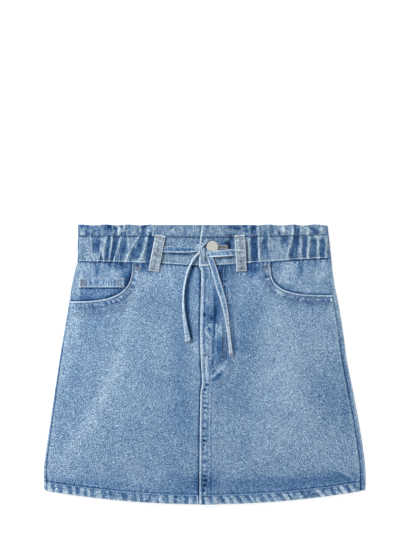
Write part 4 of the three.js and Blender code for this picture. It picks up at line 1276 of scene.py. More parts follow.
def gather_marks(x, y):
    """Relief and tone of the gathers: ridges along curved lines in the channel with dark hollows between
    them, and waves in the ruffle above. The lighter crests and darker hollows are partly bleaching and
    retained indigo, and partly painted highlight and shade."""
    head = heading_line(x)
    depth = (head - y) / (head - band_seam(x))
    t = np.clip(depth, 0, 1)
    in_channel = ease(-0.05, 0.05, depth)
    wobble = 0.8 * cloth_noise(y, x * 0.15, 7, 121)
    ridges = np.zeros(x.shape)
    crest = np.zeros(x.shape)
    for head_x, half_x, seam_at, start, stop, high, wide, worn in zip(*GATHERS.values()):
        curve = head_x * (1 - t) * (1 - 2 * t) + half_x * 4 * t * (1 - t) + seam_at * t * (2 * t - 1)
        aside = x - curve - wobble
        reach = ease(start - 0.12, start + 0.06, depth) if start > 0 else 1.0
        reach = reach * (ease(stop + 0.12, stop - 0.1, depth) if stop < 1 else 1.0)
        ridges += high * reach * (0.7 * hump(aside, wide) + 0.3 * hump(aside, 1.0))
        crest = np.maximum(crest, worn * reach * hump(aside, 0.75))
    hollow = np.zeros(x.shape)
    for head_x, seam_at, half, start, stop, tone in zip(*HOLLOWS.values()):
        aside = x - lerp(head_x, seam_at, t) - 1.4 * wobble
        reach = ease(start - 0.06, start + 0.08, depth) * ease(stop + 0.08, stop - 0.08, depth)
        hollow += tone * reach * strip_mark(aside, half)
    waves = np.zeros(x.shape)
    wave_crest = np.zeros(x.shape)
    rise = np.clip(-depth * 2.4, 0, 1)
    for place, high, wide, lean, worn in zip(*RUFFLES.values()):
        aside = x - place - lean * rise - wobble
        waves += high * hump(aside, wide)
        wave_crest = np.maximum(wave_crest, worn * hump(aside, 0.85))
    for place, half, tone in zip(*RUFFLE_HOLLOWS.values()):
        wave_crest += tone * strip_mark(x - place - 1.5 * wobble, half, 1.3) * ease(1.05, 0.7, rise * 0.7)
    near_seam = lerp(1, 0.55, ease(0.8, 1, depth))
    near_seam = near_seam * lerp(1, 0.5, ease(-0.12, 0, depth) * ease(0.12, 0, depth))
    near_join = ease(0, 8, np.maximum(JOIN[-1] - x - 10 * t, x - JOIN[1] - 5))
    side = np.where(x < 0, -1, 1)
    near_fold = ease(1, 7, side * (sided(side, outline_x, y) - x))
    fine = 0.3 * cloth_noise(x * 2.4, y, 9, 125) + 0.18 * cloth_noise(x, y, 4, 127)
    relief = lerp(waves, ridges, in_channel) * near_seam * near_join * near_fold + fine * near_fold
    mottle = 0.34 * cloth_noise(x * 1.6, y, 9, 129) + 0.3 * cloth_noise(x, y, 4.5, 133)
    channel_wear = 0.9 * crest + 1.05 * hollow * (1 - 0.8 * np.minimum(1, crest)) + 0.7 * mottle - 0.1
    broken = np.clip(0.75 + 0.9 * cloth_noise(x, y, 6, 137), 0.1, 1.3)
    heading_wear = 0.95 * wave_crest * broken + 0.02 - 0.17 * ease(-60, -90, x) + 0.2 * hump(x - 122, 24)
    heading_wear += 0.5 * cloth_noise(x * 1.2, y, 7, 131) + 0.5 * cloth_noise(x, y, 3.6, 135)
    return relief, lerp(heading_wear, channel_wear, in_channel) + band_edge_wear(x, y)


def band_edge_wear(x, y):
    """Wear that all of the band shares: a bleached top edge, dark stitch grooves and a pale lower edge."""
    above = y - heading_line(x)
    below = y - band_seam(x)
    stitch_ripple = puckers(x, y, 5.4, 141)
    wear = 0.4 * hump(top_edge(x) - y, 1.4) - 1.5 * hump(above + 0.5, 1.0)
    wear += 0.7 * hump(below - 2.5, 0.9) - 1.4 * hump(below - 0.2, 1.1)
    return wear + stitch_ripple * (0.4 * hump(above, 3.2) + 0.3 * hump(below - 5, 2.4))


def band_relief(x, y):
    """Relief that all of the band shares: grooves along its two stitched lines."""
    return -0.3 * hump(y - heading_line(x), 1.1) - 0.2 * hump(y - band_seam(x) - 2.8, 0.9)


def elastic_band():
    """Elasticated band: along the front to the fold, round it, flat along the back and forward again."""
    fold_at, back_at = 0.36, 0.4
    front = np.linspace(0, fold_at, 190)
    half = np.concatenate([front, np.linspace(fold_at, back_at, 13)[1:], np.linspace(back_at, 0.5, 90)[1:]])
    u = np.concatenate([half, 1 - half[:-1][::-1]])
    v = stops(56, 1.05)
    U, V = np.meshgrid(u, v)
    side = np.where(U < 0.5, -1, 1)
    out = np.where(U < 0.5, U, 1 - U)

    def fold_x(y):
        """Middle of the fold, inside the outline."""
        return sided(side, outline_x, y) - side * (BAND / 2 + radius)

    level = BAND_LOW + BAND / 2
    radius = (level - BAND / 2) / 2
    guess = lerp(top_edge(side * 178), band_seam(side * 180), V)
    join = np.where(side < 0, JOIN[-1] - GAP / 2, JOIN[1] + GAP / 2)
    front_x = lerp(join, fold_x(guess), np.clip(out / fold_at, 0, 1))
    back_x = lerp(fold_x(guess), 0, np.clip((out - back_at) / (0.5 - back_at), 0, 1))
    row_x = np.where(out < fold_at, front_x, np.where(out < back_at, fold_x(guess), back_x))
    y = lerp(top_edge(row_x), band_seam(row_x), V)
    angle = lerp(np.pi / 2, -np.pi / 2, np.clip((out - fold_at) / (back_at - fold_at), 0, 1))
    relief, wear = gather_marks(front_x, y)
    relief = relief + band_relief(front_x, y)
    bend = (out >= fold_at) & (out < back_at)
    x = np.where(bend, fold_x(guess) + side * radius * np.cos(angle), row_x)
    z = np.where(bend, BAND / 2 + radius + radius * np.sin(angle), BAND / 2)
    z = np.where(out < fold_at, level + relief, z)
    on_back = ease(0, 0.06, (out - back_at) / (0.5 - back_at))
    ripple = puckers(x + 0.12 * y, y, 9.5, 151)
    z = z + on_back * 0.55 * (1 - np.maximum(-0.6, ripple))
    back_wear = -0.7 * ripple + 0.3 * cloth_noise(x, y, 10, 153) + band_edge_wear(x, y)
    wear = np.where(out < fold_at, wear, lerp(-0.1, back_wear, on_back))
    thickness = rolled(BAND, top_edge(x) - y, y - band_seam(x))
    middle = np.stack([x, y, z], 2)
    name, node = "skirt_band_gathered", "waistband_elastic"
    return cloth_piece(name, middle, thickness, wear, BAND_DENIM, "denim_band", node, run_map(middle, y))


def band_lap(x):
    """How far the right band is raised where it lies over the left one's button end."""
    return (BAND + GAP) * ease(UNDERLAP_END + 9, UNDERLAP_END + 1, x)


# Short creases of the flat band, lighter along raised ones and darker along sunk ones, partly bleaching and
# partly painted highlight and shade; the dark lines just below the held ties are painted shadow.
BAND_CREASES = table(
    "x y to_x to_y wide high worn",
    (33, 176, 35, 160, 4.6, -0.3, -1.0),
    (36, 186, 40, 176, 4.0, -0.2, -0.6),
    (-2, 167, 5, 163, 1.8, -0.4, -1.6),
    (-3.2, 180, -3.2, 172, 1.6, -0.3, -1.1),
    (12, 155, 42, 157, 1.6, -0.2, -0.5),
    (16, 149, 44, 151.5, 1.3, -0.2, -1.0),
    (-56, 157.2, -14, 156.6, 1.2, -0.2, -0.7),
    (-20, 141, -12, 141, 2.4, -0.2, -0.8),
    (-44, 196, -46, 186, 1.6, 0.4, 0.4),
    (-30, 197, -27, 186, 1.8, -0.3, -0.4),
    (-16, 198, -17, 186, 1.6, 0.4, 0.4),
    (8, 198, 10, 187, 1.6, 0.3, 0.4),
    (34, 196, 56, 192, 2.4, -0.5, -0.9),
    (30, 191, 60, 187, 2.0, 0.4, 0.3),
    (-50, 158, -20, 154, 2.0, -0.3, -0.35),
    (-52, 171, -14, 170, 1.6, 0.3, 0.25),
    (14, 150, 38, 148, 2.0, 0.2, 0.15),
    (24, 176, 40, 168, 2.4, -0.3, -0.35),
)


def flat_band_marks(side, x, y):
    """Relief and tone of the flat front of the band, with painted shadow beside the lapped right band and
    along the held ties.
    """
    relief, wear = line_marks(x, y, BAND_CREASES)
    relief = relief + band_relief(x, y) + 0.12 * cloth_noise(x, y, 12, 161) + 0.05 * cloth_noise(x, y, 5, 163)
    wear = wear + band_edge_wear(x, y) - 0.18
    wear += 0.26 * cloth_noise(x, y, 13, 165) + 0.22 * cloth_noise(x * 1.5, y, 4, 167)
    wear += 0.24 * hump(y - 149, 6) + 0.1 * hump(y - 192, 5) - 0.25 * hump(y - 168, 9) * hump(x - 24, 24)
    if side > 0:
        away = x - lap_edge(y)
        corner = ease(8, 4, x) * ease(band_seam(x) + 3, band_seam(x) + 1.6, y)
        relief += 0.35 * hump(away - 1.2, 1.5)
        wear += 1.3 * hump(away - 1.2, 1.5) + 1.6 * corner
    else:
        # Painted shadow of the right band's raised end along its edge.
        wear -= 0.8 * hump(x - lap_edge(y), 1.8)
    return relief, wear


def flat_band_top(side, x, y):
    """Face of the flat front of the band."""
    x = np.asarray(x, float)
    y = np.asarray(y, float)
    lap = band_lap(x) if side > 0 else 0
    return BAND_LOW + BAND + lap + flat_band_marks(side, x, y)[0]


def flat_band(side, name, node):
    """Flat front of the band: from the lapped edge or the button end out to the belt loop."""
    U, V = np.meshgrid(stops(60 if side > 0 else 97, 0.8), stops(60, 0.8))
    row_y = lerp(WAIST_TOP - 0.7, band_seam(0.0) + 1, V)
    inner = lap_edge(row_y) if side > 0 else UNDERLAP_END
    join = JOIN[side] - side * GAP / 2
    x = lerp(inner, join, U)
    y = lerp(top_edge(x), band_seam(x), V)
    relief, wear = flat_band_marks(side, x, y)
    lap = band_lap(x) if side > 0 else 0
    edges = [top_edge(x) - y, y - band_seam(x)]
    if side > 0:
        edges.append(x - lap_edge(y))
    showing = 1.0 if side > 0 else ease(9, 11, UNDERLAP_END - x)
    middle = np.stack([x, y, BAND_LOW + BAND / 2 + lap + relief * showing], 2)
    return cloth_piece(name, middle, rolled(BAND, *edges), wear, BAND_DENIM, "denim_band", node)


def keyhole_spokes(count):
    """Unit spokes round the keyhole's eye, from one side of its slot to the other: the slot's half width
    over the eye's radius is the sine of the first one's turn."""
    start = np.arcsin(BUTTONHOLE["slot"] / BUTTONHOLE["eye"])
    turn = np.linspace(start, 2 * np.pi - start, count)
    return np.stack([np.cos(turn), np.sin(turn)], 1)


def cut_keyhole(piece):
    """Cuts the keyhole through the right band: a round eye at the shank and a slot beside it."""
    half = BUTTONHOLE["slot"] / 2
    end = BUTTONHOLE["end"] - BUTTON["x"]
    ring = BUTTONHOLE["eye"] / 2 * keyhole_spokes(33)
    outline = np.concatenate([ring, [[end, -half], [end, half]]]) + [BUTTON["x"], BUTTON["y"]]
    count = len(outline)
    points = np.concatenate([np.c_[outline, np.full(count, z)] for z in (0.5, 20.0)])
    mesh = bpy.data.meshes.new("keyhole_cutter")
    sides = [(i, (i + 1) % count, (i + 1) % count + count, i + count) for i in range(count)]
    ends = [tuple(range(count))[::-1], tuple(range(count, 2 * count))]
    mesh.from_pydata((points * MM).tolist(), [], ends + sides)
    cutter = placed("keyhole_cutter", mesh)
    cut = piece.modifiers.new("keyhole", "BOOLEAN")
    cut.operation = "DIFFERENCE"
    cut.solver = "EXACT"
    cut.object = cutter
    bpy.context.view_layer.update()
    evaluated = piece.evaluated_get(bpy.context.evaluated_depsgraph_get())
    cleaned = bpy.data.meshes.new_from_object(evaluated)
    piece.modifiers.clear()
    piece.data = cleaned
    bpy.data.objects.remove(cutter)


# Belt loops and ties
def loop_frame(side):
    """Foot, run and unit width of a belt loop."""
    top, foot = np.array(LOOPS[side][0]), np.array(LOOPS[side][1])
    run = top - foot
    across = np.array([run[1], -run[0]]) / np.hypot(*run)
    return foot, run, across


def loop_level(along, across_share):
    """Middle of a loop's wall: on the band at its ends, arched over the tie between them."""
    arch = 2.7 * ease(0.14, 0.44, along) * ease(0.98, 0.68, along)
    return BAND_LOW + BAND + GAP + STRAP / 2 + arch - 0.25 * (2 * across_share - 1) ** 4


def belt_loop(side, name, node):
    """Belt loop: a folded strip, pale along its edges and stitched along both."""
    foot, run, across = loop_frame(side)
    U, V = np.meshgrid(stops(LOOP_WIDTH, 0.6), stops(np.hypot(*run), 0.8))
    along = 1 - V
    x = foot[0] + run[0] * along + across[0] * LOOP_WIDTH * (U - 0.5)
    y = foot[1] + run[1] * along + across[1] * LOOP_WIDTH * (U - 0.5)
    from_edge = LOOP_WIDTH * (0.5 - np.abs(U - 0.5))
    from_end = np.hypot(*run) * (0.5 - np.abs(V - 0.5))
    ripple = puckers(along * LOOP_LENGTH, U * LOOP_WIDTH, 5.2, 171 + side)
    groove = hump(from_edge - 2.6, 0.6)
    wear = hump(from_edge, 1.2) + 0.5 * ripple * hump(from_edge - 4, 3) - 0.6 * groove
    wear += 0.9 * hump(from_end, 1.4) + 0.35 * cloth_noise(x, y, 4, 173)
    wear -= 0.8 * hump(from_end - 3, 0.9) + 0.5 * hump(from_edge - 7.5, 1.8)
    relief = 0.14 * ripple - 0.2 * groove - 0.2 * hump(from_end - 3, 1.4)
    middle = np.stack([x, y, loop_level(along, U) + relief], 2)
    thickness = rolled(STRAP, from_edge, from_end)
    flat_map = np.stack([U * LOOP_WIDTH, along * LOOP_LENGTH], 2)
    return cloth_piece(name, middle, thickness, wear, LOOP_DENIM, "denim_loop", node, flat_map)


def surface_top(x, y):
    """Top of the garment under the ties: the flat band with its lap, and the panels below the band."""
    panel = np.where(x > lap_edge(y), front_low(1, x, y), front_low(-1, x, y)) + CLOTH
    band = BAND_LOW + BAND + np.where(x > lap_edge(y), band_lap(x), 0)
    return lerp(panel, band, ease(band_seam(x) - 3, band_seam(x) + 1, y))


def smooth_path(points, count):
    """A smooth curve through points, centripetal Catmull-Rom, at places evenly spaced along it."""
    points = np.asarray(points, float)
    ends = [2 * points[0] - points[1], *points, 2 * points[-1] - points[-2]]
    knots = np.array(ends)
    time = np.concatenate([[0], np.cumsum(np.linalg.norm(np.diff(knots, axis=0), axis=1) ** 0.5)])
    fine = np.linspace(time[1], time[-2], 40 * len(points))
    k = np.clip(np.searchsorted(time, fine, side="right") - 1, 1, len(points) - 1)

    def between(a, b, ta, tb):
        """From a at time ta to b at time tb, in a straight line."""
        share = ((fine - ta) / (tb - ta))[:, None]
        return a * (1 - share) + b * share

    a1 = between(knots[k - 1], knots[k], time[k - 1], time[k])
    a2 = between(knots[k], knots[k + 1], time[k], time[k + 1])
    a3 = between(knots[k + 1], knots[k + 2], time[k + 1], time[k + 2])
    b1 = between(a1, a2, time[k - 1], time[k + 1])
    b2 = between(a2, a3, time[k], time[k + 2])
    curve = between(b1, b2, time[k], time[k + 1])
    run = np.concatenate([[0], np.cumsum(np.linalg.norm(np.diff(curve, axis=0), axis=1))])
    even = np.linspace(0, run[-1], count)
    return np.stack([np.interp(even, run, curve[:, axis]) for axis in range(3)], 1)


def tie_route(route, deep):
    """A tie's middle line: its route's places, each resting on the garment at its own height over it."""
    x, y, over = np.array(route, float).T
    return np.stack([x, y, surface_top(x, y) + GAP + deep / 2 + over], 1)


def ribbon(path, width, tilt, edges, deep, seed, shade, cup=0.35):
    """Grid of a folded strip along a path: a flat section with raised edges, turned about the path by its
    tilt and eased up by half of its width as it stands. Its two edges are made lighter by the given amounts,
    darker where an amount is negative, and all of it by the shade along its run: partly bleaching, and
    partly painted highlight and shade where a turned strip faces towards or away from the light. Gives
    its middle grid, thickness, tone and map."""
    count = len(path)
    share = np.linspace(0, 1, count)
    width = np.interp(share, np.linspace(0, 1, len(width)), width)
    tilt = np.radians(np.interp(share, np.linspace(0, 1, len(tilt)), tilt))
    forward = np.gradient(path, axis=0)
    forward /= np.linalg.norm(forward, axis=1, keepdims=True)
    aside = np.cross(forward, [0, 0, 1.0])
    aside /= np.linalg.norm(aside, axis=1, keepdims=True)
    up = np.cross(aside, forward)
    turned = aside * np.cos(tilt)[:, None] + up * np.sin(tilt)[:, None]
    face = np.cross(turned, forward)
    w = np.array([-1, -0.93, -0.82, -0.66, -0.45, -0.2, 0.0, 0.2, 0.45, 0.66, 0.82, 0.93, 1])
    W, S = np.meshgrid(w, share * np.linalg.norm(np.diff(path, axis=0), axis=1).sum())
    lift = cup * hump(np.abs(W) - 0.84, 0.16)
    ripple = 0.12 * cloth_noise(S, W * 3, 5, 181 + seed)
    centre = path + np.abs(np.sin(tilt))[:, None] * (width / 2)[:, None] * up * 0.8
    middle = centre[:, None] + turned[:, None] * (W * width[:, None] / 2)[..., None]
    middle = middle + face[:, None] * (lift + ripple)[..., None]
    edge = (1 - np.abs(W)) * width[:, None] / 2
    thickness = rolled(deep, edge)
    marks = puckers(S, W, 5.0, 183 + seed) + 0.8 * cloth_noise(S, W * 4, 4, 185 + seed)
    bright = np.where(W < 0, edges[0], edges[1])
    wear = bright * hump(np.abs(W) - 0.92, 0.24) - 0.5 * hump(W, 0.6) + 0.42 * marks * hump(W, 0.7)
    wear += np.interp(share, np.linspace(0, 1, len(shade)), shade)[:, None]
    return middle, thickness, wear, np.stack([W * width[:, None] / 2, S], 2)


def tie_piece(name, node, path, width, tilt, edges, deep, seed, shade):
    """A stretch of tie as a closed strip."""
    middle, thickness, wear, flat_map = ribbon(path, width, tilt, edges, deep, seed, shade)
    return cloth_piece(name, middle, thickness, wear, TIE_DENIM, "denim_tie", node, flat_map)


def joined(name, parts, finish, slot, node):
    """Several closed strips as one piece."""
    points, faces, flat, wear = [], [], [], []
    start = 0
    for middle, thickness, worn, flat_map in parts:
        part_points, part_faces = wall(*thick(middle, thickness))
        points.append(part_points)
        faces.append(part_faces + start)
        flat += [flat_map.reshape(-1, 2)] * 2
        wear += [worn.ravel(), worn.ravel() - 0.3]
        start += len(part_points)
    layers = {"uv": np.concatenate(flat), "wear": np.concatenate(wear)}
    return mesh_of(name, np.concatenate(points), np.concatenate(faces), finish, slot, node, **layers)


def tie_knot():
    """The knot: the left strip turned up and over the right one, and a short turn drawn round both."""
    parts = []
    base = BAND_LOW + BAND + BAND + GAP + GAP
    for turn, (places, widths, tilts, edges, tone) in enumerate(KNOT_TURNS):
        x, y, over = np.array(places).T
        path = smooth_path(np.stack([x, y, base + over], 1), 52)
        parts.append(ribbon(path, widths, tilts, edges, deep=1.4, seed=turn + 5, cup=0.25, shade=(tone, tone)))
    return joined("skirt_tie_knot", parts, TIE_DENIM, "denim_tie", "tie_knot")


# Sewing
def stitch_row(x, y, surface, pitch=3.1, length=2.3, radius=0.34, sink=0.12):
    """Stitches along a line on a surface: even steps along it, each a thread that rises between two holes.
    Gives the four stations of each stitch and their radii."""
    x, y = np.broadcast_arrays(x, y)
    run = np.concatenate([[0], np.cumsum(np.hypot(np.diff(x), np.diff(y)))])
    starts = np.arange(0.4, run[-1] - length, pitch)
    places = starts[:, None] + length * np.array([0, 0.28, 0.72, 1.0])
    sx = np.interp(places, run, x)
    sy = np.interp(places, run, y)
    sz = surface(sx, sy) + np.array([-sink, radius * 0.62, radius * 0.62, -sink])
    radii = radius * np.array([0.45, 1.0, 1.0, 0.45])
    return np.stack([sx, sy, sz], 2), np.broadcast_to(radii, sx.shape)


def bartack(middle, along, length, depth, surface, pitch=0.85, radius=0.36):
    """A bar of close threads: each lies across the bar, side by side along it."""
    along = np.array(along, float) / np.hypot(*along)
    across = np.array([-along[1], along[0]])
    steps = np.arange(-length / 2, length / 2 + 0.01, pitch)
    reach = depth / 2 * np.array([-1, -0.5, 0.5, 1])
    x = middle[0] + along[0] * steps[:, None] + across[0] * reach
    y = middle[1] + along[1] * steps[:, None] + across[1] * reach
    z = surface(x, y) + np.array([0.0, radius * 1.1, radius * 1.1, 0.0])
    radii = radius * np.array([0.6, 1.0, 1.0, 0.6])
    return np.stack([x, y, z], 2), np.broadcast_to(radii, x.shape)


def threads(name, rows, finish, slot):
    """All of one thread's stitches as one mesh: rings of five points along each, closed by its tips."""
    centres = np.concatenate([row[0] for row in rows])
    radii = np.concatenate([row[1] for row in rows])
    number, stations = centres.shape[:2]
    forward = np.gradient(centres, axis=1)
    forward /= np.linalg.norm(forward, axis=2, keepdims=True)
    aside = np.cross(forward, [0, 0, 1.0])
    aside /= np.maximum(np.linalg.norm(aside, axis=2, keepdims=True), 1e-6)
    up = np.cross(aside, forward)
    ring = np.arange(5) * 2 * np.pi / 5
    spoke = aside[:, :, None] * np.cos(ring)[:, None] + up[:, :, None] * np.sin(ring)[:, None]
    points = (centres[:, :, None] + spoke * radii[:, :, None, None]).reshape(-1, 3)
    first = np.arange(number)[:, None, None] * stations * 5
    station = np.arange(stations - 1)[None, :, None] * 5
    k = np.arange(5)[None, None, :]
    ahead = (k + 1) % 5
    a = first + station + k
    b = first + station + ahead
    sides = np.stack([a, b, b + 5, a + 5], -1).reshape(-1, 4)
    start = (np.arange(number) * stations * 5)[:, None]
    caps = [start + [0, 4, 3, 2], start + [0, 2, 1, 1]]
    last = start + (stations - 1) * 5
    caps += [last + [0, 1, 2, 3], last + [0, 3, 4, 4]]
    faces = sides.tolist() + [list(dict.fromkeys(face)) for cap in caps for face in cap.tolist()]
    return mesh_of(name, points, np.array(faces, dtype=object), finish, slot)


def along_x(start, stop, height, lift=0.0):
    """A line across the skirt at a height worked out from its x."""
    x = np.linspace(start, stop, 400)
    return x, height(x) + lift


def mouth_line(side, away):
    """A line at a distance outside a pocket's mouth: its superellipse grown by that distance."""
    mouth = MOUTHS[side]
    corner = band_seam(mouth["top"])
    outer = seam_x(side, corner - mouth["depth"])
    angle = np.linspace(0.0, np.pi / 2, 300)
    width = abs(outer - mouth["top"]) + away
    x = outer - side * width * np.cos(angle) ** (2 / mouth["power"])
    y = corner - (mouth["depth"] + away) * np.sin(angle) ** (2 / mouth["power"])
    keep = (y < band_seam(x) - 2) & (side * (seam_x(side, y) - x) > 1.0)
    return x[keep], y[keep]


def one_side(top, side):
    """A face's level on one side, as a function of places alone."""

    def level(x, y):
        """The face there."""
        return top(side, x, y)

    return level


def loop_top(side, share):
    """Level of the sewing on a belt loop at a share of its width, a hair inside its face."""
    foot, run, _ = loop_frame(side)

    def level(x, y):
        """The loop there, by how far up its run the place is."""
        return loop_level((y - foot[1]) / run[1], share) + STRAP / 2 - 0.1

    return level


def gathered_top(x, y):
    """Face of the gathered band."""
    return BAND_LOW + BAND + gather_marks(x, y)[0] + band_relief(x, y)


def panel_sewing(tan, brown):
    """Rows and bartacks of the front panels: hem, pocket mouths, lapped edge and fly."""
    faces = {side: one_side(front_top, side) for side in (-1, 1)}
    for side, (start, stop) in {-1: (-224, -8), 1: (-6, 221)}.items():
        x, y = along_x(start, stop, hem_y, HEM_DEPTH)
        tan.append(stitch_row(x, y, faces[side], pitch=3.4, radius=0.48))
        for away in (3.6, 9.8):
            brown.append(stitch_row(*mouth_line(side, away), faces[side], radius=0.42))
    for start, count, away, radius in ((band_seam(0.0) - 3, 600, 3.9, 0.3), (10, 400, 11.9, 0.36)):
        y = np.linspace(start, -196, count)
        tan.append(stitch_row(lap_edge(y) + away, y, faces[1], radius=radius))
    for inset_by in (0.0, 4.0):
        y = np.linspace(band_seam(28.0) - 3, FLY_FOOT + inset_by, 900)
        x = fly_line(y, inset_by)
        keep = x > lap_edge(y) + 13
        tan.append(stitch_row(x[keep], y[keep], faces[1], length=1.9, radius=0.4))
    for middle, along, length, depth, side in (
        ((-97.5, 137.2), (0.1, 1), 7.6, 2.2, -1),
        ((-92.5, 136.6), (0.1, 1), 7.6, 2.2, -1),
        ((86.5, 139.0), (-0.1, 1), 6.4, 2.2, 1),
        ((91.0, 139.6), (-0.1, 1), 6.4, 2.2, 1),
        ((1.2, 13.8), (1, 0), 8.5, 2.4, 1),
    ):
        brown.append(bartack(middle, along, length, depth, faces[side]))


def band_sewing(tan, brown, pale):
    """Rows of the band and its loops, and the loops' bartacks."""
    flat = {side: one_side(flat_band_top, side) for side in (-1, 1)}
    runs = ((-177, -82, gathered_top), (62, 174, gathered_top), (-57, -10, flat[-1]), (-5, 42, flat[1]))
    for start, stop, face in runs:
        brown.append(stitch_row(*along_x(start, stop, heading_line), face, radius=0.3))
        line = along_x(start, stop, band_seam, 2.6)
        pale.append(stitch_row(*line, face, pitch=3.6, length=2.6, radius=0.46))
    y = np.linspace(196, 143, 80)
    pale.append(stitch_row(lap_edge(y) + 2.6, y, flat[1], radius=0.26))
    for side in (-1, 1):
        foot, run, across = loop_frame(side)
        for share in (-0.33, 0.33):
            t = np.linspace(0.03, 0.97, 60)
            x = foot[0] + run[0] * t + across[0] * LOOP_WIDTH * share
            y = foot[1] + run[1] * t + across[1] * LOOP_WIDTH * share
            tan.append(stitch_row(x, y, loop_top(side, share + 0.5), pitch=2.8, length=2.0))
        for t in (0.055, 0.945):
            brown.append(bartack(foot + run * t, across, 11.5, 1.6, loop_top(side, 0.5), radius=0.3))


def coin_sewing(tan, brown):
    """Rows and bartacks of the coin pocket: its hem, its two sides and its corners."""
    top, left, right = (COIN_POCKET[edge] for edge in ("top", "left", "right"))
    for down in (2.4, 13.2):
        x = np.linspace(left + 3, right - 3, 50)
        tan.append(stitch_row(x, top - down, coin_surface, radius=0.28))
    for edge, inwards, low in ((left, 1, 98), (right, -1, 106)):
        for inset_by in (2.2, 6.6):
            y = np.linspace(top - 1, low, 50)
            tan.append(stitch_row(edge + inwards * inset_by, y, coin_surface, radius=0.28))
    for x in (left + 3.6, left + 6.8, left + 10.0, right - 9.4):
        brown.append(bartack((x, top - 7.0), (0, 1), 9.6, 2.0, coin_surface, radius=0.3))
    for down in (2.6, 11.0):
        brown.append(bartack((right - 5.6, top - down), (1, 0), 8.0, 2.0, coin_surface, radius=0.3))


def sewing():
    """Every visible row of stitches and every bartack, as one mesh for each thread."""
    tan, brown, pale = [], [], []
    panel_sewing(tan, brown)
    band_sewing(tan, brown, pale)
    coin_sewing(tan, brown)
    threads("stitches_tan", tan, TAN_THREAD, "denim_body")
    threads("stitches_brown", brown, BROWN_THREAD, "denim_body")
    threads("stitches_pale", pale, BLUE_THREAD, "denim_body")


def buttonhole_sewing():
    """Purl stitches round the keyhole: short threads that stand across its edge all the way round."""
    eye = BUTTONHOLE["eye"] / 2
    half = BUTTONHOLE["slot"] / 2
    end = BUTTONHOLE["end"]
    spokes = keyhole_spokes(26)
    run = np.arange(BUTTON["x"] + eye, end + 0.1, 0.72)
    feet = [[BUTTON["x"], BUTTON["y"]] + eye * spokes]
    ways = [spokes]
    for up in (1.0, -1.0):
        feet.append(np.stack([run, np.full(len(run), BUTTON["y"] + up * half)], 1))
        ways.append(np.tile([0.0, up], (len(run), 1)))
    foot = np.concatenate(feet)
    out = np.concatenate(ways)
    reach = np.array([-0.2, 0.2, 0.9, 1.4])
    x = foot[:, :1] + out[:, :1] * reach
    y = foot[:, 1:] + out[:, 1:] * reach
    z = flat_band_top(1, x, y) + np.array([-0.3, 0.35, 0.35, -0.05])
    radii = np.broadcast_to(0.32 * np.array([0.8, 1, 1, 0.6]), x.shape)
    bar = bartack((end + 0.6, BUTTON["y"]), (0, 1), 5.2, 1.8, one_side(flat_band_top, 1))
    return threads("buttonhole_purl", [(np.stack([x, y, z], 2), radii), bar], PURL_THREAD, "denim_band")


BUTTON_SIDES = 64


def button():
    """Button: a profile turned about its axis, a shank, a rim, a shallow ring and a low dome."""
    foot = BAND_LOW + BAND + GAP
    plate = BAND_LOW + BAND + band_lap(BUTTON["x"]) + GAP
    radius = BUTTON["across"] / 2
    shank = BUTTON["shank"] / 2
    rings = np.array(
        [
            (shank - 0.3, foot),
            (shank, foot + 0.3),
            (shank, plate - 0.2),
            (shank + 0.3, plate),
            (radius - 1.4, plate),
            (radius - 0.6, plate + 0.15),
            (radius - 0.1, plate + 0.6),
            (radius, plate + 1.1),
            (radius - 0.15, plate + 1.55),
            (radius - 0.55, plate + 1.85),
            (radius - 1.1, plate + 1.92),
            (radius - 1.6, plate + 1.86),
            (radius - 1.95, plate + 1.78),
            (radius - 2.3, plate + 1.8),
            (radius - 3.2, plate + 1.88),
            (radius - 5.0, plate + 1.98),
            (radius - 7.0, plate + 2.04),
        ]
    )
    turn = np.linspace(0, 2 * np.pi, BUTTON_SIDES + 1)[:-1]
    x = BUTTON["x"] + rings[:, :1] * np.cos(turn)
    y = BUTTON["y"] + rings[:, :1] * np.sin(turn)
    z = np.broadcast_to(rings[:, 1:], x.shape)
    tips = [[BUTTON["x"], BUTTON["y"], level] for level in (foot, plate + 2.06)]
    points = np.concatenate([np.stack([x, y, z], 2).reshape(-1, 3), tips])
    low, high = x.size, x.size + 1
    last = (len(rings) - 1) * BUTTON_SIDES
    around = [(k, (k + 1) % BUTTON_SIDES) for k in range(BUTTON_SIDES)]
    faces = []
    for start in range(0, last, BUTTON_SIDES):
        above = start + BUTTON_SIDES
        faces += [[start + a, start + b, above + b, above + a] for a, b in around]
    faces += [[low, b, a] for a, b in around]
    faces += [[last + a, last + b, high] for a, b in around]
    faces = np.array(faces, dtype=object)
    return mesh_of("skirt_button", points, faces, BUTTON_METAL, "button_metal", "button")


def frayed_tip(name, tip, heading, width, seed):
    """Loose threads at a tie's cut end: short bent strands fanned about its heading."""
    draw = np.random.default_rng(seed)
    count = 26
    angle = heading + draw.uniform(-0.55, 0.55, count)
    offset = draw.uniform(-0.5, 0.5, count) * width
    length = draw.uniform(1.6, 4.2, count)
    side_x, side_y = -np.sin(heading), np.cos(heading)
    reach = np.array([-1.2, 0.0, 0.55, 1.0])
    x = tip[0] + side_x * offset[:, None] + np.cos(angle)[:, None] * length[:, None] * reach
    y = tip[1] + side_y * offset[:, None] + np.sin(angle)[:, None] * length[:, None] * reach
    z = tip[2] + draw.uniform(-0.5, 0.5, count)[:, None] + np.array([0, 0, -0.2, -0.5])
    radii = np.broadcast_to(0.17 * np.array([1, 1, 0.9, 0.4]), x.shape)
    return threads(name, [(np.stack([x, y, z], 2), radii)], BLUE_THREAD, "denim_tie")


# The stage, in metres
FLOOR_REACH = 3.0
FLOOR_LEVEL = -0.0006


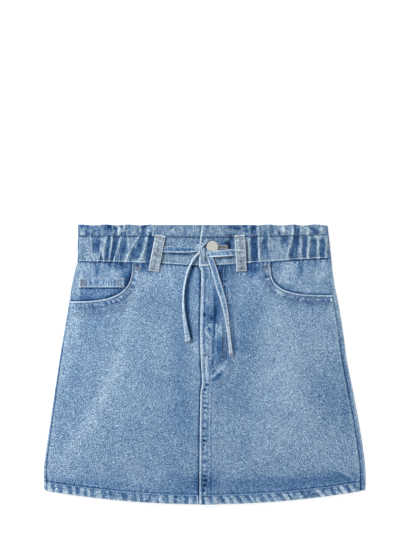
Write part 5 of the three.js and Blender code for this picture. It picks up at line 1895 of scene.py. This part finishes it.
def stage():
    """Pale floor, lit a little from below like a light table, under a soft key light from the upper left
    and a weak fill."""
    shader = Shader("floor")
    tones = ((0.0, (0.72, 0.72, 0.72, 1)), (1.0, (0.74, 0.74, 0.74, 1)))
    colour = shader.ramp(shader.noise(None, 40.0), tones)
    glow = {"Emission_Color": (1.0, 1.0, 1.0, 1.0), "Emission_Strength": 0.6}
    white = shader.finish(Base_Color=colour, Roughness=0.9, **glow)
    mesh = bpy.data.meshes.new("floor")
    corners = ((-1, -1), (1, -1), (1, 1), (-1, 1))
    corners = [(x * FLOOR_REACH, y * FLOOR_REACH, FLOOR_LEVEL) for x, y in corners]
    mesh.from_pydata(corners, [], [(0, 1, 2, 3)])
    mesh.materials.append(white)
    floor = placed("floor", mesh)
    for name, place, size, power in (
        ("key", (-1.25, 0.95, 1.35), 0.5, 51.0),
        ("fill", (1.4, -0.6, 2.0), 1.6, 12.0),
    ):
        light = bpy.data.lights.new(name, "AREA")
        light.size = size
        light.energy = power
        lamp = placed(name, light)
        lamp.location = place
        aim = -np.array(place)
        tilt = np.arctan2(np.hypot(aim[0], aim[1]), -aim[2])
        lamp.rotation_euler = (tilt, 0, np.arctan2(aim[0], -aim[1]) + np.pi)
    world = bpy.data.worlds.new("studio")
    world.use_nodes = True
    sky = world.node_tree.nodes["Background"].inputs
    sky["Color"].default_value = (1.0, 1.0, 1.0, 1.0)
    sky["Strength"].default_value = 0.38
    bpy.context.scene.world = world
    bpy.context.scene.view_settings.view_transform = "Standard"
    bpy.context.scene.view_settings.look = "None"


PHOTO_HEIGHT = 536
MM_PER_PIXEL = 1.423
CAMERA_AT = (0.7, 137.2)
CAMERA_HEIGHT = 2.6
SKIRT_LEVEL = 0.006  # the height at which the photo's scale holds


def camera():
    """Looks straight down, its view as tall as the photo is at the skirt's scale."""
    lens = bpy.data.cameras.new("camera")
    lens.sensor_fit = "VERTICAL"
    lens.sensor_height = 24.0
    view_height = PHOTO_HEIGHT * MM_PER_PIXEL * MM
    lens.lens = lens.sensor_height * (CAMERA_HEIGHT - SKIRT_LEVEL) / view_height
    lens.clip_end = 20.0
    eye = placed("camera", lens)
    eye.location = (CAMERA_AT[0] * MM, CAMERA_AT[1] * MM, CAMERA_HEIGHT)
    bpy.context.scene.camera = eye


WHOLE_CUT = 0.97  # a piece that fills this share of its box is taken as the whole of it
LEAST_CUT = 0.31


def declare_sheets(pieces):
    """Works out what each piece of cloth was cut to: its box, and its share of that box where it isn't the
    whole of it, from half of its wall's area. The result is not kept or stated."""
    for piece, width, length, held, rests_on in pieces:
        mesh = piece.data
        areas = np.empty(len(mesh.polygons))
        mesh.polygons.foreach_get("area", areas)
        share = min(1.0, areas.sum() / 2 / (width * length))
        area = None if share > WHOLE_CUT else round(width * length * max(LEAST_CUT, share), 5)


camera()
stage()

left_path = smooth_path(tie_route(TIE_LEFT_END, 3.2), 120)
right_path = smooth_path(tie_route(TIE_RIGHT_END, STRAP), 120)
# Painted highlight along the left free tie, lighter where the strip stands turned up towards the key light;
# its darker right edge is painted shade.
left_end = tie_piece(
    "skirt_tie_left_end",
    "tie_left_end",
    left_path,
    width=(2.6, 2.8, 3.0, 3.2, 3.4, 4.0, 5.2, 6.8, 8.4),
    tilt=(-20, -34, -44, -46, -46, -42, -34, -24, -12),
    edges=(-0.5, 0.5),
    deep=1.2,
    seed=1,
    shade=(1.2, 1.3, 1.3, 1.3, 1.2, 1.1, 0.9, 0.7, 0.6),
)
# Painted highlight where this tie's lower stretch turns up towards the key light.
right_end = tie_piece(
    "skirt_tie_right_end",
    "tie_right_end",
    right_path,
    width=(5.4, 7.8, 8.8, 9.0, 8.8, 8.2, 6.8, 5.4, 4.6, 4.4, 4.2),
    tilt=(0, 0, 0, 0, 2, 4, 12, 20, 22, 20, 16),
    edges=(0.9, 1.2),
    deep=1.4,
    seed=2,
    shade=(0.1, 0.1, 0.1, 0.1, 0.15, 0.3, 0.7, 1.1, 1.2, 1.1),
)
left_path[0] * MM
right_path[0] * MM
tie_piece(
    "skirt_tie_left_held",
    "tie_left_held",
    smooth_path(tie_route(TIE_LEFT_HELD, STRAP), 70),
    width=(9.4, 9.2, 9.0, 6.0),
    tilt=(0, 0),
    edges=(0.5, 1.35),
    deep=1.5,
    seed=3,
    shade=(-0.1, -0.15, -0.25, -0.1),
)
tie_piece(
    "skirt_tie_right_held",
    "tie_right_held",
    smooth_path(tie_route(TIE_RIGHT_HELD, STRAP), 70),
    width=(9.8, 9.8, 9.8, 9.4, 8.0),
    tilt=(0, 0),
    edges=(1.35, 0.5),
    deep=1.5,
    seed=4,
    shade=(0.1, 0.1, 0.2, 0.45, 0.1),
)
tie_knot()
frayed_tip("tie_left_fray", left_path[-1], -1.42, 8.6, 201)
frayed_tip("tie_right_fray", right_path[-1], -1.35, 4.5, 203)

front_left = front_panel(-1, "skirt_front_left", "front_left")
front_right = front_panel(1, "skirt_front_right", "front_right")
back = back_panel()
facing_left = pocket_facing(-1, "skirt_facing_left", "pocket_facing_left")
facing_right = pocket_facing(1, "skirt_facing_right", "pocket_facing_right")
coin = coin_pocket()
band_gathered = elastic_band()
band_left = flat_band(-1, "skirt_band_left", "waistband_front_left")
band_right = flat_band(1, "skirt_band_right", "waistband_front_right")
cut_keyhole(band_right)
loop_left = belt_loop(-1, "skirt_loop_left", "belt_loop_left")
loop_right = belt_loop(1, "skirt_loop_right", "belt_loop_right")
button()
sewing()
buttonhole_sewing()

declare_sheets(
    [
        (back, 0.474, 0.372, "laid", ["floor"]),
        (front_left, 0.256, 0.372, "laid", ["back_panel"]),
        (front_right, 0.230, 0.372, "laid", ["back_panel"]),
        (facing_left, 0.101, 0.068, "laid", ["back_panel"]),
        (facing_right, 0.103, 0.064, "laid", ["back_panel"]),
        (coin, 0.066, 0.046, "laid", ["pocket_facing_left"]),
        (band_gathered, 0.860, 0.060, "gathered", ["back_panel"]),
        (band_left, 0.097, 0.060, "laid", ["waistband_elastic"]),
        (band_right, 0.060, 0.060, "laid", ["waistband_elastic"]),
        (loop_left, 0.015, 0.053, "laid", ["waistband_front_left"]),
        (loop_right, 0.015, 0.053, "laid", ["waistband_front_right"]),
    ]
)
